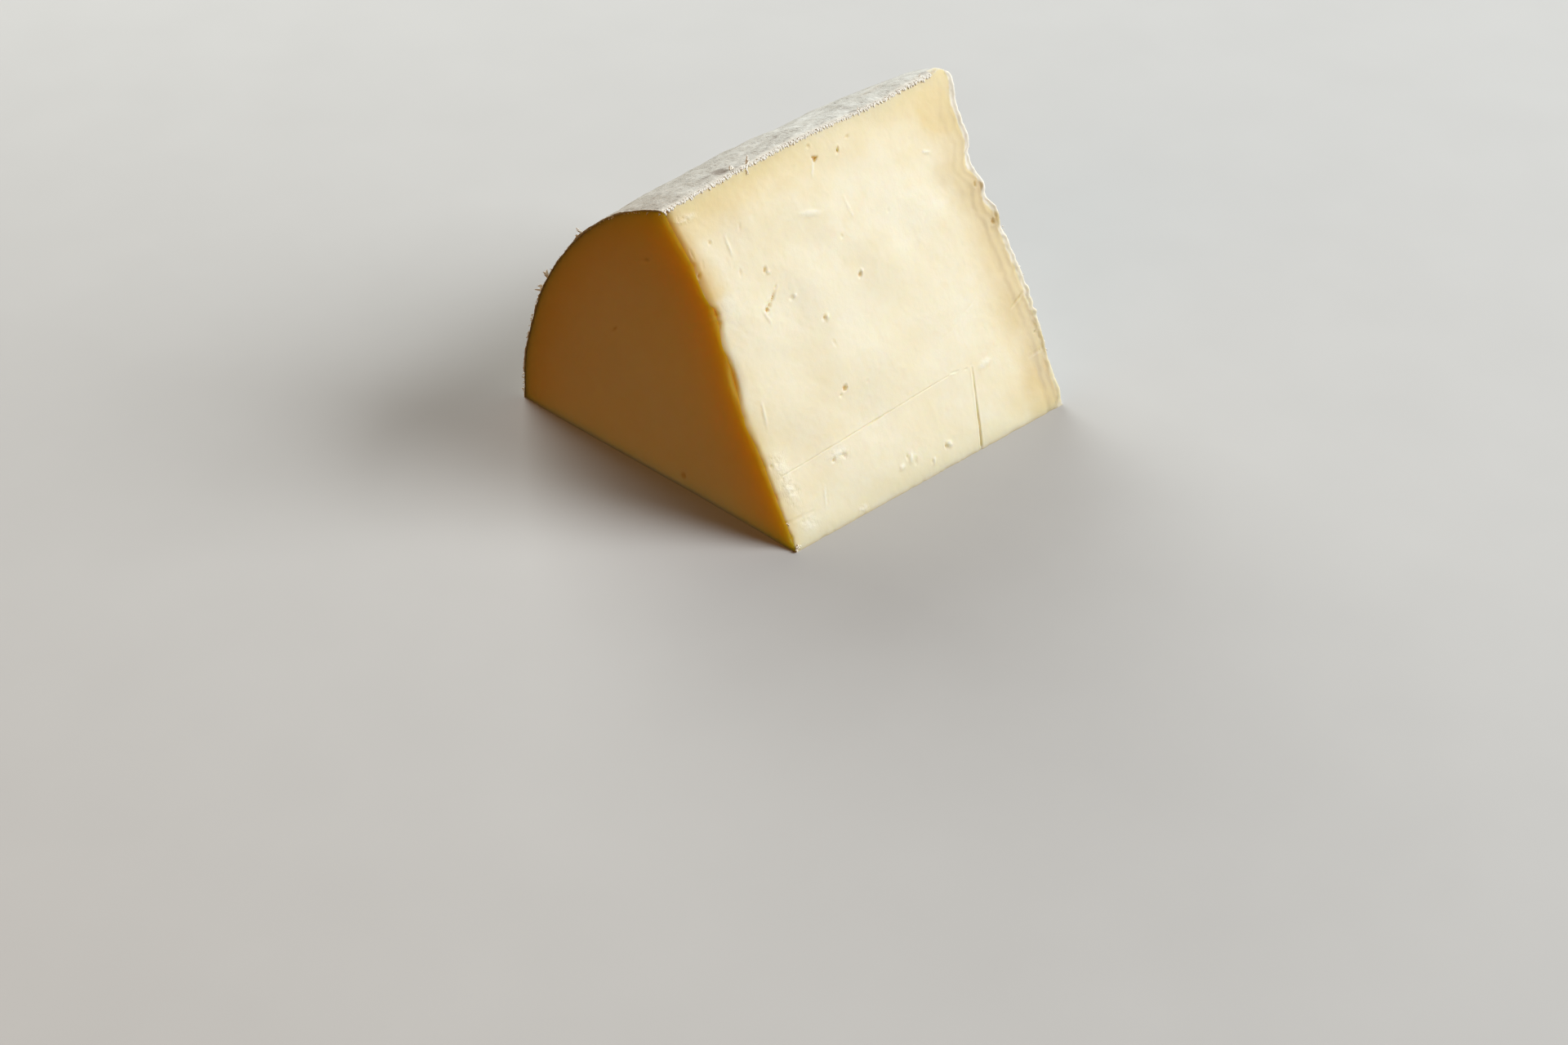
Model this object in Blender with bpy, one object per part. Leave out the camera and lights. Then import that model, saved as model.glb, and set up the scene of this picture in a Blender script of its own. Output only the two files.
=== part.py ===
"""A wedge of clothbound hard cheese, cut from the half height of a small drum.

The wedge is a sector of the drum. Its lower cut is the flat base, its upper cut
slopes up from the drum's axis edge, and its left end is the cut across the drum.
The round side and the far end are rind. Lengths are metres and +Z is up.
"""

import math

import bmesh
import bpy
import numpy as np
from mathutils import Matrix, Vector

MM = 0.001

# The wedge is drawn about the drum's axis edge: X along the axis from the cross cut
# to the rind end, Y outwards along the base, and angles turn up from the base.
WEDGE_ANGLE = math.radians(57)
END_X = 92.6 * MM
BASE_CENTRE = (41.79 * MM, 49.40 * MM)

# The round side: a drum radius that sags towards the upper cut and bulges in the middle.
DRUM_RADIUS = 94.2 * MM
SAG_START = math.radians(8)
SAG_DEPTH = 5.6 * MM
EDGE_CURL = 2.5 * MM
EDGE_CURL_POWER = 7
BARREL_RISE = 3.5 * MM
BARREL_MID = 62 * MM
RIM_RADIUS = 2.6 * MM
RIND_RELIEF = 0.35 * MM
RIND_CELL = 13 * MM
RIND_SHIFT = 9
RIND_SEED = 8

# The rim's corner stands up beside the upper cut, and rolls over at its very edge.
LIP_START = 70 * MM
LIP_LENGTH = 18 * MM
LIP_RISE = 3.1 * MM
LIP_REACH = 9 * MM
LIP_ROLL = 1.7 * MM
LIP_ROLL_REACH = 1.6 * MM

# The cloth's overlap crosses the round side as a low step that slants a little.
OVERLAP_X = 61 * MM
OVERLAP_SLANT = 6 * MM
OVERLAP_STEP = 0.3 * MM
OVERLAP_SHARE_BELOW = 0.4
OVERLAP_WIDTH = 3 * MM

# The cross cut slants a little, and it is hollow beside the upper cut.
CUT_SLANT = -0.1133
CUT_LEAN = 0.0549
HOLLOW_DEPTH = 3.4 * MM
HOLLOW_R = 62 * MM
HOLLOW_WIDTH = 17 * MM
HOLLOW_START = 0.45
CUT_RELIEF = 0.2 * MM
CUT_CELL = 16 * MM
CUT_SEED = 3

# The rind end: a cloth cap with gathers at its rim, and crags where the upper cut meets it.
CAP_HEM = 13 * MM
CAP_HEM_EDGE = 2 * MM
CAP_STEP = 0.6 * MM
GATHERS_PER_TURN = 38
GATHER_DEPTH = 0.35 * MM
END_RELIEF = 0.5 * MM
END_CELL = 15 * MM
END_SHIFT = (7, 5)
END_SEED = 5
CRAG_REACH = 11 * MM
# Each crag: distance from the axis edge, half width, and depth (a lump where negative).
END_CRAGS = (
    (66.5 * MM, 4.5 * MM, 2.8 * MM),
    (57.5 * MM, 2.8 * MM, 1.6 * MM),
    (79.0 * MM, 6.0 * MM, 0.8 * MM),
    (88.0 * MM, 2.8 * MM, -0.9 * MM),
    (30.0 * MM, 13.0 * MM, -1.1 * MM),
    (0.0 * MM, 4.0 * MM, 0.7 * MM),
)

# The upper cut is nearly flat, with a gentle drag left by the knife.
FACE_RELIEF = 0.3 * MM
FACE_CELL = 11 * MM
FACE_SHIFT = 3
FACE_SEED = 12
# The relief fades over this share of the face along each of its edges.
FACE_MARGIN = 1 / 12

# The grid of the solid: along the axis, out from it, and round it.
AXIAL_STEPS = 34
RADIAL_STEPS = 36
ANGLE_STEPS = 24

# Knife marks on the upper cut: (x, r) at each end, width and depth.
KNIFE_MARKS = (
    ((4.0 * MM, 17.9 * MM), (62.0 * MM, 20.9 * MM), 0.45 * MM, 0.5 * MM),
    ((67.9 * MM, 20.0 * MM), (61.9 * MM, -1.5 * MM), 0.5 * MM, 1.3 * MM),
    ((79.5 * MM, 37.0 * MM), (61.0 * MM, 29.2 * MM), 0.4 * MM, 0.3 * MM),
    ((0.1 * MM, 7.3 * MM), (8.7 * MM, 7.0 * MM), 0.35 * MM, 0.35 * MM),
    ((86.8 * MM, 28.8 * MM), (92.6 * MM, 31.2 * MM), 0.5 * MM, 0.7 * MM),
    ((87.2 * MM, 15.5 * MM), (92.4 * MM, 15.6 * MM), 0.5 * MM, 0.7 * MM),
)

# Small holes in the upper cut: (x, r), long and short half widths, turn and depth.
PITS = (
    ((44.8 * MM, 83.2 * MM), 1.1 * MM, 0.8 * MM, 0.3, 0.9 * MM),
    ((52.0 * MM, 82.7 * MM), 0.9 * MM, 0.4 * MM, 1.3, 0.8 * MM),
    ((17.4 * MM, 55.4 * MM), 1.4 * MM, 0.5 * MM, 1.0, 0.8 * MM),
    ((20.0 * MM, 63.9 * MM), 0.8 * MM, 0.5 * MM, 1.0, 0.6 * MM),
    ((24.4 * MM, 55.2 * MM), 0.7 * MM, 0.5 * MM, 0.3, 0.5 * MM),
    ((45.6 * MM, 53.1 * MM), 0.9 * MM, 0.5 * MM, 0.7, 0.6 * MM),
    ((31.1 * MM, 47.6 * MM), 0.9 * MM, 0.5 * MM, 1.1, 0.6 * MM),
    ((31.2 * MM, 40.9 * MM), 1.0 * MM, 0.4 * MM, 1.2, 0.6 * MM),
    ((29.6 * MM, 30.0 * MM), 0.9 * MM, 0.6 * MM, 1.1, 0.6 * MM),
    ((22.3 * MM, 15.4 * MM), 0.9 * MM, 0.5 * MM, 0.5, 0.5 * MM),
    ((41.6 * MM, 5.8 * MM), 1.0 * MM, 0.6 * MM, 0.3, 0.6 * MM),
    ((1.9 * MM, 59.6 * MM), 1.8 * MM, 1.2 * MM, 0.5, 1.6 * MM),
)
PIT_SIDES = 5
PIT_SKEW = 0.3
PIT_SKEW_TURN = 2.4
# A pit's mouth is made this many times its width, at its own depth above the face.
PIT_MOUTH = 2

# Crumbs and flakes that stand up from the upper cut: (x, r) and radius.
FLAKES = (
    ((0.6 * MM, 1.6 * MM), 1.3 * MM),
    ((4.8 * MM, 5.4 * MM), 0.8 * MM),
    ((4.4 * MM, 13.2 * MM), 0.8 * MM),
    ((3.6 * MM, 20.6 * MM), 1.0 * MM),
    ((20.2 * MM, 17.0 * MM), 0.8 * MM),
    ((53.0 * MM, 5.2 * MM), 0.8 * MM),
    ((4.6 * MM, 81.8 * MM), 1.0 * MM),
)
FLAKE_HEIGHT = 0.6

# Frayed tufts of the cloth on the round side beside the cuts: (x, angle) and radius.
TUFTS = (
    ((-6.6 * MM, math.radians(24.3)), 1.2 * MM),
    ((-7.2 * MM, math.radians(21.9)), 1.0 * MM),
    ((-4.6 * MM, math.radians(35.0)), 1.0 * MM),
    ((22.0 * MM, math.radians(55.4)), 1.1 * MM),
    ((26.0 * MM, math.radians(55.9)), 1.2 * MM),
)
TUFT_SEED = 50
CRUMB_JITTER = (0.75, 1.2)

CHEESE_COLOUR = (0.83, 0.66, 0.36, 1.0)
CHEESE_ROUGHNESS = 0.55


def clear_scene():
    """Remove every object that the scene holds."""
    for thing in list(bpy.data.objects):
        bpy.data.objects.remove(thing, do_unlink=True)


def ease(t):
    """Return 0 below 0, 1 above 1, and a smooth rise between them."""
    t = np.clip(t, 0.0, 1.0)
    return t * t * (3.0 - 2.0 * t)


def lattice_noise(u, v, seed):
    """Smooth seeded noise from -1 to 1 on a lattice whose cells are 1 wide."""
    span = 32
    table = np.random.default_rng(seed).uniform(-1.0, 1.0, (span, span))
    iu = np.floor(u).astype(int)
    iv = np.floor(v).astype(int)
    fu = ease(u - iu)
    fv = ease(v - iv)
    low = table[iu % span, iv % span] * (1 - fu) + table[(iu + 1) % span, iv % span] * fu
    high = table[iu % span, (iv + 1) % span] * (1 - fu)
    high = high + table[(iu + 1) % span, (iv + 1) % span] * fu
    return low * (1 - fv) + high * fv


def cross_cut_x(r, phi):
    """Place of the cross cut along the axis: a slanted plane with a hollow at its upper edge."""
    y = r * np.cos(phi)
    z = r * np.sin(phi)
    upper = ease((phi / WEDGE_ANGLE - HOLLOW_START) / (1 - HOLLOW_START))
    hollow = HOLLOW_DEPTH * np.exp(-((r - HOLLOW_R) / HOLLOW_WIDTH) ** 2) * upper
    relief = CUT_RELIEF * lattice_noise(y / CUT_CELL, z / CUT_CELL, CUT_SEED)
    return CUT_SLANT * y + CUT_LEAN * z + hollow + relief


def rind_end_x(r, phi):
    """Place of the rind end along the axis: cloth cap, gathered hem and crags at the cut."""
    y = r * np.cos(phi)
    z = r * np.sin(phi)
    hem = ease((r - (DRUM_RADIUS - CAP_HEM)) / CAP_HEM_EDGE)
    gathers = GATHER_DEPTH * np.cos(phi * GATHERS_PER_TURN) * hem
    shift_y, shift_z = END_SHIFT
    relief = lattice_noise(y / END_CELL + shift_y, z / END_CELL + shift_z, END_SEED)
    relief = END_RELIEF * relief
    to_cut = (WEDGE_ANGLE - phi) * r
    beside_cut = np.exp(-to_cut / CRAG_REACH)
    crags = np.zeros_like(r)
    for place_r, half_width, depth in END_CRAGS:
        crags = crags + depth * np.exp(-((r - place_r) / half_width) ** 2)
    away = 1 - beside_cut
    return END_X + (CAP_STEP * hem + gathers + relief) * away - crags * beside_cut


def rind_radius(x, phi):
    """Radius of the round side: sagging drum, barrel, lip at the rim, overlap and relief."""
    t = np.clip((phi - SAG_START) / (WEDGE_ANGLE - SAG_START), 0.0, 1.0)
    sag = SAG_DEPTH * t ** 2 + EDGE_CURL * t ** EDGE_CURL_POWER
    barrel = BARREL_RISE * (1 - ((BARREL_MID - x) / BARREL_MID) ** 2)
    to_cut = (WEDGE_ANGLE - phi) * DRUM_RADIUS
    lip = LIP_RISE * np.exp(-to_cut / LIP_REACH)
    lip = lip - LIP_ROLL * np.exp(-to_cut / LIP_ROLL_REACH)
    lip = lip * ease((x - LIP_START) / LIP_LENGTH)
    seam_x = OVERLAP_X + OVERLAP_SLANT * (WEDGE_ANGLE - phi)
    overlap = OVERLAP_STEP * (ease((x - seam_x) / OVERLAP_WIDTH) - OVERLAP_SHARE_BELOW)
    arc = phi * DRUM_RADIUS
    relief = lattice_noise(x / RIND_CELL + RIND_SHIFT, arc / RIND_CELL, RIND_SEED)
    return DRUM_RADIUS - sag + barrel + lip + overlap + RIND_RELIEF * relief


def away_from_ends(share):
    """0 at both ends of a share from 0 to 1, and 1 from a margin inwards."""
    return ease(share / FACE_MARGIN) * ease((1 - share) / FACE_MARGIN)


def wedge_point(s, rho, phi):
    """Carry s (cut to rind end), rho (axis edge to rind) and phi (base to cut) to a point."""
    r = rho * DRUM_RADIUS
    x = (1 - s) * cross_cut_x(r, phi) + s * rind_end_x(r, phi)
    outer = rind_radius(x, phi)
    r = rho * outer
    end = rind_end_x(r, phi)
    x = (1 - s) * cross_cut_x(r, phi) + s * end
    along = np.clip(x - (end - RIM_RADIUS), 0.0, None)
    out = np.clip(r - (outer - RIM_RADIUS), 0.0, None)
    far = np.hypot(along, out)
    safe_far = np.where(far > 0, far, 1.0)
    rounding = np.where(far > 0, np.maximum(along, out) / safe_far, 1.0)
    x = x - along * (1 - rounding)
    r = r - out * (1 - rounding)
    point = np.stack([x, r * np.cos(phi), r * np.sin(phi)], axis=-1)
    relief = lattice_noise(x / FACE_CELL + FACE_SHIFT, r / FACE_CELL, FACE_SEED)
    lift = FACE_RELIEF * relief * away_from_ends(s) * away_from_ends(rho)
    on_face = np.where(np.isclose(phi, WEDGE_ANGLE), lift, 0.0)
    return point + on_face[..., None] * np.array(face_normal())


def face_normal():
    """Outward direction of the upper cut."""
    return (0.0, -math.sin(WEDGE_ANGLE), math.cos(WEDGE_ANGLE))


def on_upper_cut(x, r):
    """Point of the upper cut at x along the axis and r out from it."""
    return Vector((x, r * math.cos(WEDGE_ANGLE), r * math.sin(WEDGE_ANGLE)))


def wedge_faces():
    """Corner triples (i, j, k) of every face, in order round it, seen from outside."""
    last_i, last_j, last_k = AXIAL_STEPS, RADIAL_STEPS, ANGLE_STEPS
    faces = []
    for i in range(last_i):
        for j in range(last_j):
            top = last_k
            faces.append([(i, j, top), (i + 1, j, top), (i + 1, j + 1, top), (i, j + 1, top)])
        for k in range(last_k):
            out = last_j
            faces.append([(i, out, k), (i, out, k + 1), (i + 1, out, k + 1), (i + 1, out, k)])
    for j in range(last_j):
        for k in range(last_k):
            faces.append([(0, j, k), (0, j, k + 1), (0, j + 1, k + 1), (0, j + 1, k)])
            end = last_i
            faces.append([(end, j, k), (end, j + 1, k), (end, j + 1, k + 1), (end, j, k + 1)])
    base = [(0, j, 0) for j in range(last_j)]
    base += [(i, last_j, 0) for i in range(last_i)]
    base += [(last_i, j, 0) for j in range(last_j, 0, -1)]
    base += [(i, 0, 0) for i in range(last_i, 0, -1)]
    faces.append(base)
    return faces


def merged_corner(corner):
    """On the axis edge every angle is the same point."""
    i, j, k = corner
    return (i, j, 0) if j == 0 else corner


def build_wedge():
    """Make the closed wedge as one mesh object."""
    numbers = {}
    faces = []
    for face in wedge_faces():
        ring = []
        for corner in face:
            key = merged_corner(corner)
            index = numbers.setdefault(key, len(numbers))
            if index not in ring:
                ring.append(index)
        faces.append(ring)
    grid = np.array(list(numbers), dtype=float)
    s = grid[:, 0] / AXIAL_STEPS
    rho = grid[:, 1] / RADIAL_STEPS
    phi = grid[:, 2] / ANGLE_STEPS * WEDGE_ANGLE
    points = wedge_point(s, rho, phi)
    mesh = bpy.data.meshes.new("cheese_wedge")
    mesh.from_pydata(points.tolist(), [], faces)
    mesh.validate()
    wedge = bpy.data.objects.new("cheese_wedge", mesh)
    bpy.context.collection.objects.link(wedge)
    return wedge


def add_mesh(name, points, faces):
    """Link a small mesh, with its faces turned outwards."""
    mesh = bpy.data.meshes.new(name)
    mesh.from_pydata([tuple(point) for point in points], [], faces)
    shape = bmesh.new()
    shape.from_mesh(mesh)
    bmesh.ops.recalc_face_normals(shape, faces=shape.faces)
    shape.to_mesh(mesh)
    shape.free()
    thing = bpy.data.objects.new(name, mesh)
    bpy.context.collection.objects.link(thing)
    return thing


def knife_cutter(name, start, end, width, depth):
    """A blade with a V section, from start to end on the upper cut."""
    normal = Vector(face_normal())
    first = on_upper_cut(*start)
    last = on_upper_cut(*end)
    along = (last - first).normalized()
    side = normal.cross(along) * width
    above = normal * width
    below = normal * -depth
    points = []
    for middle in (first, last):
        points += [middle + above - side, middle + above + side, middle + below]
    faces = [(0, 1, 2), (5, 4, 3), (0, 3, 4, 1), (1, 4, 5, 2), (2, 5, 3, 0)]
    return add_mesh(name, points, faces)


def pit_cutter(name, place, long_half, short_half, turn, depth):
    """A pointed hole with an uneven five-sided mouth."""
    normal = Vector(face_normal())
    centre = on_upper_cut(*place)
    x_axis = Vector((1, 0, 0))
    r_axis = normal.cross(x_axis)
    points = []
    for step in range(PIT_SIDES):
        angle = 2 * math.pi * step / PIT_SIDES + PIT_SKEW * math.sin(step * PIT_SKEW_TURN)
        u = long_half * math.cos(angle)
        v = short_half * math.sin(angle)
        across = x_axis * (u * math.cos(turn) - v * math.sin(turn))
        up = r_axis * (u * math.sin(turn) + v * math.cos(turn))
        points.append(centre + (across + up) * PIT_MOUTH + normal * depth)
    points.append(centre - normal * depth)
    faces = [tuple(range(PIT_SIDES))]
    faces += [(step, (step + 1) % PIT_SIDES, PIT_SIDES) for step in range(PIT_SIDES)]
    return add_mesh(name, points, faces)


def lump(name, centre, normal, radius, height, seed):
    """An uneven crumb: a low-sided ball, squashed along the surface's normal."""
    shape = bmesh.new()
    bmesh.ops.create_icosphere(shape, subdivisions=1, radius=radius)
    low, high = CRUMB_JITTER
    jitter = np.random.default_rng(seed).uniform(low, high, len(shape.verts))
    for vert, factor in zip(shape.verts, jitter):
        vert.co *= factor
        vert.co.z *= height
    turn = Vector(normal).to_track_quat("Z", "X").to_matrix().to_4x4()
    shape.transform(Matrix.Translation(centre) @ turn)
    mesh = bpy.data.meshes.new(name)
    shape.to_mesh(mesh)
    shape.free()
    return bpy.data.objects.new(name, mesh)


def crumb_collection():
    """Every crumb, flake and cloth tuft that stands proud of the wedge."""
    crumbs = bpy.data.collections.new("crumbs")
    bpy.context.scene.collection.children.link(crumbs)
    for number, (place, radius) in enumerate(FLAKES):
        centre = on_upper_cut(*place)
        name = f"flake_{number}"
        crumbs.objects.link(lump(name, centre, face_normal(), radius, FLAKE_HEIGHT, number))
    for number, ((x, phi), radius) in enumerate(TUFTS):
        r = float(rind_radius(np.array(x), np.array(phi)))
        out = Vector((0, math.cos(phi), math.sin(phi)))
        centre = Vector((x, 0, 0)) + out * r
        name = f"tuft_{number}"
        crumbs.objects.link(lump(name, centre, out, radius, 1.0, TUFT_SEED + number))
    return crumbs


def join_crumbs(wedge, crumbs):
    """Fuse the crumbs to the wedge, and remove them."""
    union = wedge.modifiers.new("crumbs", "BOOLEAN")
    union.operation = "UNION"
    union.operand_type = "COLLECTION"
    union.collection = crumbs
    union.solver = "EXACT"
    depsgraph = bpy.context.evaluated_depsgraph_get()
    fused = bpy.data.meshes.new_from_object(wedge.evaluated_get(depsgraph))
    wedge.modifiers.clear()
    wedge.data = fused
    for crumb in list(crumbs.objects):
        bpy.data.objects.remove(crumb, do_unlink=True)
    bpy.data.collections.remove(crumbs)


def cut_marks(wedge):
    """Cut every knife mark and pit out of the upper cut."""
    cutters = []
    for number, (start, end, width, depth) in enumerate(KNIFE_MARKS):
        cutters.append(knife_cutter(f"knife_mark_{number}", start, end, width, depth))
    for number, (place, long_half, short_half, turn, depth) in enumerate(PITS):
        cutters.append(pit_cutter(f"pit_{number}", place, long_half, short_half, turn, depth))
    for cutter in cutters:
        cutter.display_type = "WIRE"
        cutter.hide_render = True
        cutter.location = (-BASE_CENTRE[0], -BASE_CENTRE[1], 0)
        cut = wedge.modifiers.new(cutter.name, "BOOLEAN")
        cut.operation = "DIFFERENCE"
        cut.object = cutter
        cut.solver = "EXACT"


def cheese_material():
    """Cream-yellow cheese with a soft, waxy shine."""
    material = bpy.data.materials.new("cheese")
    material.use_nodes = True
    shader = material.node_tree.nodes["Principled BSDF"]
    shader.inputs["Base Color"].default_value = CHEESE_COLOUR
    shader.inputs["Roughness"].default_value = CHEESE_ROUGHNESS
    shader.inputs["Metallic"].default_value = 0.0
    return material


def main():
    clear_scene()
    wedge = build_wedge()
    join_crumbs(wedge, crumb_collection())
    wedge.location = (-BASE_CENTRE[0], -BASE_CENTRE[1], 0)
    cut_marks(wedge)
    wedge.data.materials.clear()
    wedge.data.materials.append(cheese_material())


main()
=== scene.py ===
# %% [markdown]
# # A wedge of clothbound cheese
# The wedge is one sector of a small drum. Two of its faces are knife cuts through
# the paste, a third is the flat cut that it rests on, and the round side and the
# far end are rind: muslin that has grown into a dry grey skin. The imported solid
# gives the true shape and size, and this script dresses it.

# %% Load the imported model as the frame
import math

import bpy
import numpy as np
from mathutils import Matrix, Vector


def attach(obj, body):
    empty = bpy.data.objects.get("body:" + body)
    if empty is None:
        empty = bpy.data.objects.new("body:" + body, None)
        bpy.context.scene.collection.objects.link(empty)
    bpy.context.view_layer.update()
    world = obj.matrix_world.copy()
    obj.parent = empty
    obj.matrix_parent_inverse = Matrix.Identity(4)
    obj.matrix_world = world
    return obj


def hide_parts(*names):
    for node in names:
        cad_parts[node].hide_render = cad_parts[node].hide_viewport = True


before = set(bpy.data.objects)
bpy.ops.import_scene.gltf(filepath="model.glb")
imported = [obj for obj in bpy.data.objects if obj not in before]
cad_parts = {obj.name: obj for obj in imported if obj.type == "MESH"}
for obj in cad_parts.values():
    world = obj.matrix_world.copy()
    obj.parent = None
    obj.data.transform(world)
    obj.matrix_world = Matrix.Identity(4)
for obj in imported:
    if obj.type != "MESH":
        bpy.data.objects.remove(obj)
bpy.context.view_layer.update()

# %% [markdown]
# ## Camera
# The camera looks down at the wedge from its lower left. Turning it in three plain
# steps (heading, pitch, roll) is easier to read than a matrix of numbers.

# %% Camera
CAMERA_PLACE = (-0.34132, -0.37248, 0.35947)
CAMERA_HEADING = math.radians(-42.417)
CAMERA_PITCH = math.radians(90 - 38.5)
CAMERA_ROLL = math.radians(1.0)
FOCAL_PIXELS = 2950
FRAME_PIXELS = 1920
SENSOR_WIDTH = 36.0

camera_data = bpy.data.cameras.new("camera")
camera_data.sensor_fit = "HORIZONTAL"
camera_data.sensor_width = SENSOR_WIDTH
camera_data.lens = SENSOR_WIDTH * FOCAL_PIXELS / FRAME_PIXELS
camera_data.clip_start = 0.01
camera = bpy.data.objects.new("camera", camera_data)
camera.matrix_world = (
    Matrix.Translation(CAMERA_PLACE)
    @ Matrix.Rotation(CAMERA_HEADING, 4, "Z")
    @ Matrix.Rotation(CAMERA_PITCH, 4, "X")
    @ Matrix.Rotation(CAMERA_ROLL, 4, "Z")
)
bpy.context.scene.collection.objects.link(camera)
bpy.context.scene.camera = camera
print("lens in millimetres:", round(camera_data.lens, 2))

# %% [markdown]
# ## Light and floor
# Daylight falls on the upper cut from the right, and the cross cut turns away from
# it, so that face is lit only by what warm surroundings throw back. Large area
# lights stand in for the window and for that bounce, because a small lamp would
# draw hard shadows that soft daylight doesn't have.

# %% Light and floor
KEY_COLOUR = (0.95, 0.98, 1.0)
BACK_COLOUR = (0.97, 1.0, 0.98)
BOUNCE_COLOUR = (1.0, 0.52, 0.17)
ROOM_COLOUR = (1.0, 0.72, 0.5, 1.0)
ROOM_STRENGTH = 0.02


def softbox(name, direction, distance, size, power, colour):
    """A square area light that stands off along a direction and faces the origin."""
    data = bpy.data.lights.new(name, "AREA")
    data.shape = "SQUARE"
    data.size = size
    data.energy = power
    data.color = colour
    lamp = bpy.data.objects.new(name, data)
    away = Vector(direction).normalized()
    lamp.location = away * distance
    lamp.rotation_euler = away.to_track_quat("Z", "Y").to_euler()
    bpy.context.scene.collection.objects.link(lamp)
    print(name, "lamp of", power, "watts")


softbox("window", (0.60, -0.56, 0.54), 2.0, 1.1, 52.0, KEY_COLOUR)
softbox("back_window", (0.25, 0.90, 0.45), 1.3, 0.9, 18.0, BACK_COLOUR)
softbox("bounce", (-0.92, -0.12, 0.28), 1.0, 0.9, 2.7, BOUNCE_COLOUR)

world = bpy.data.worlds.new("room")
world.use_nodes = True
room = world.node_tree.nodes["Background"]
room.inputs["Color"].default_value = ROOM_COLOUR
room.inputs["Strength"].default_value = ROOM_STRENGTH
bpy.context.scene.world = world
bpy.context.scene.view_settings.view_transform = "Standard"

# %% [markdown]
# Every material below is a small graph of nodes. A short helper keeps each node on
# one line: it makes the node, sets its options, and fills or links its sockets.


# %% Node helpers
def fill(node, sockets):
    """Give each named socket a number, or link another node's output to it."""
    for key, value in sockets.items():
        if isinstance(value, bpy.types.NodeSocket):
            node.id_data.links.new(value, node.inputs[key])
        else:
            node.inputs[key].default_value = value


def add_node(tree, kind, sockets=None, **options):
    """Make a node in a tree, set its options and fill its sockets."""
    node = tree.nodes.new(kind)
    for key, value in options.items():
        setattr(node, key, value)
    fill(node, sockets or {})
    return node


def new_material(name):
    """A material with nodes; returns it with its main shader and its place in millimetres."""
    material = bpy.data.materials.new(name)
    material.use_nodes = True
    place = add_node(material.node_tree, "ShaderNodeTexCoord").outputs["Object"]
    print("material", name)
    return material, material.node_tree.nodes["Principled BSDF"], place


def noise_of(place, size_mm, detail=2.0, roughness=0.5, distortion=0.0):
    """Noise from 0 to 1 whose lumps are about size_mm across."""
    sockets = {"Vector": place, "Scale": 1000.0 / size_mm, "Detail": detail}
    sockets |= {"Roughness": roughness, "Distortion": distortion}
    return add_node(place.id_data, "ShaderNodeTexNoise", sockets).outputs["Fac"]


def ramp_of(value, low, high):
    """0 below low, 1 above high, and a smooth rise between them."""
    sockets = {"Value": value, "From Min": low, "From Max": high}
    node = add_node(
        value.id_data, "ShaderNodeMapRange", sockets, interpolation_type="SMOOTHSTEP"
    )
    return node.outputs["Result"]


def math_of(operation, first, second=0.0):
    """One sum, product or the like of a node's output and another value."""
    sockets = {0: first, 1: second}
    return add_node(first.id_data, "ShaderNodeMath", sockets, operation=operation).outputs[0]


def times(first, second):
    """The product of a node's output and another value."""
    return math_of("MULTIPLY", first, second)


def rest_of(value):
    """What is missing from 1."""
    sockets = {0: 1.0, 1: value}
    return add_node(value.id_data, "ShaderNodeMath", sockets, operation="SUBTRACT").outputs[0]


def blend_of(factor, first, second, kind="MIX"):
    """One colour turned into another by a factor from 0 to 1."""
    sockets = {0: factor, 6: first, 7: second}
    tree = (first if kind == "MULTIPLY" else factor).id_data
    return add_node(tree, "ShaderNodeMix", sockets, data_type="RGBA", blend_type=kind).outputs[2]


def attribute_of(shader, name):
    """A number that the mesh carries at each vertex."""
    return add_node(shader.id_data, "ShaderNodeAttribute", attribute_name=name).outputs["Fac"]


def bump_of(height, depth_mm, under=None):
    """A bump whose full height is depth_mm, laid over another bump."""
    sockets = {"Height": height, "Distance": depth_mm / 1000.0, "Strength": 1.0}
    sockets |= {"Normal": under} if under else {}
    return add_node(height.id_data, "ShaderNodeBump", sockets).outputs["Normal"]


# %% [markdown]
# The floor is a pale sheet. It takes the wedge's shadow but throws no coloured
# light back up, so the shaded cut keeps its depth.

# %% Floor
FLOOR_HALF = 2.0
FLOOR_COLOUR = (0.56, 0.555, 0.54, 1.0)
FLOOR_SPECK = (0.53, 0.525, 0.51, 1.0)

floor_mesh = bpy.data.meshes.new("floor")
floor_corners = [(-1, -1), (1, -1), (1, 1), (-1, 1)]
floor_points = [(FLOOR_HALF * u, FLOOR_HALF * v, 0.0) for u, v in floor_corners]
floor_mesh.from_pydata(floor_points, [], [(0, 1, 2, 3)])
floor = bpy.data.objects.new("floor", floor_mesh)
bpy.context.scene.collection.objects.link(floor)
floor_material, shader, place = new_material("floor_paper")
specks = blend_of(noise_of(place, 30), FLOOR_COLOUR, FLOOR_SPECK)
fill(shader, {"Base Color": specks, "Roughness": 0.9})
floor.data.materials.append(floor_material)
floor.visible_diffuse = False
floor.visible_glossy = False

# %% [markdown]
# ## The wedge's own shape
# Every piece below lies on the same wedge, so its shape is written once, as a
# mapping. Three numbers name a place in the wedge: how far along the drum's axis,
# how far out from the axis edge, and how far round from the base to the upper cut.
# Lengths are millimetres here and become metres when a mesh is made.

# %% Sizes of the wedge
WEDGE_ANGLE = math.radians(57)
END_X = 92.6
DRUM_RADIUS = 94.2
BASE_CENTRE = np.array([41.79, 49.40, 0.0])
AXIS = np.array([1.0, 0.0, 0.0])
FACE_NORMAL = np.array([0.0, -math.sin(WEDGE_ANGLE), math.cos(WEDGE_ANGLE)])
print("round side, base to upper cut:", round(WEDGE_ANGLE * DRUM_RADIUS, 1), "mm")

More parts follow.
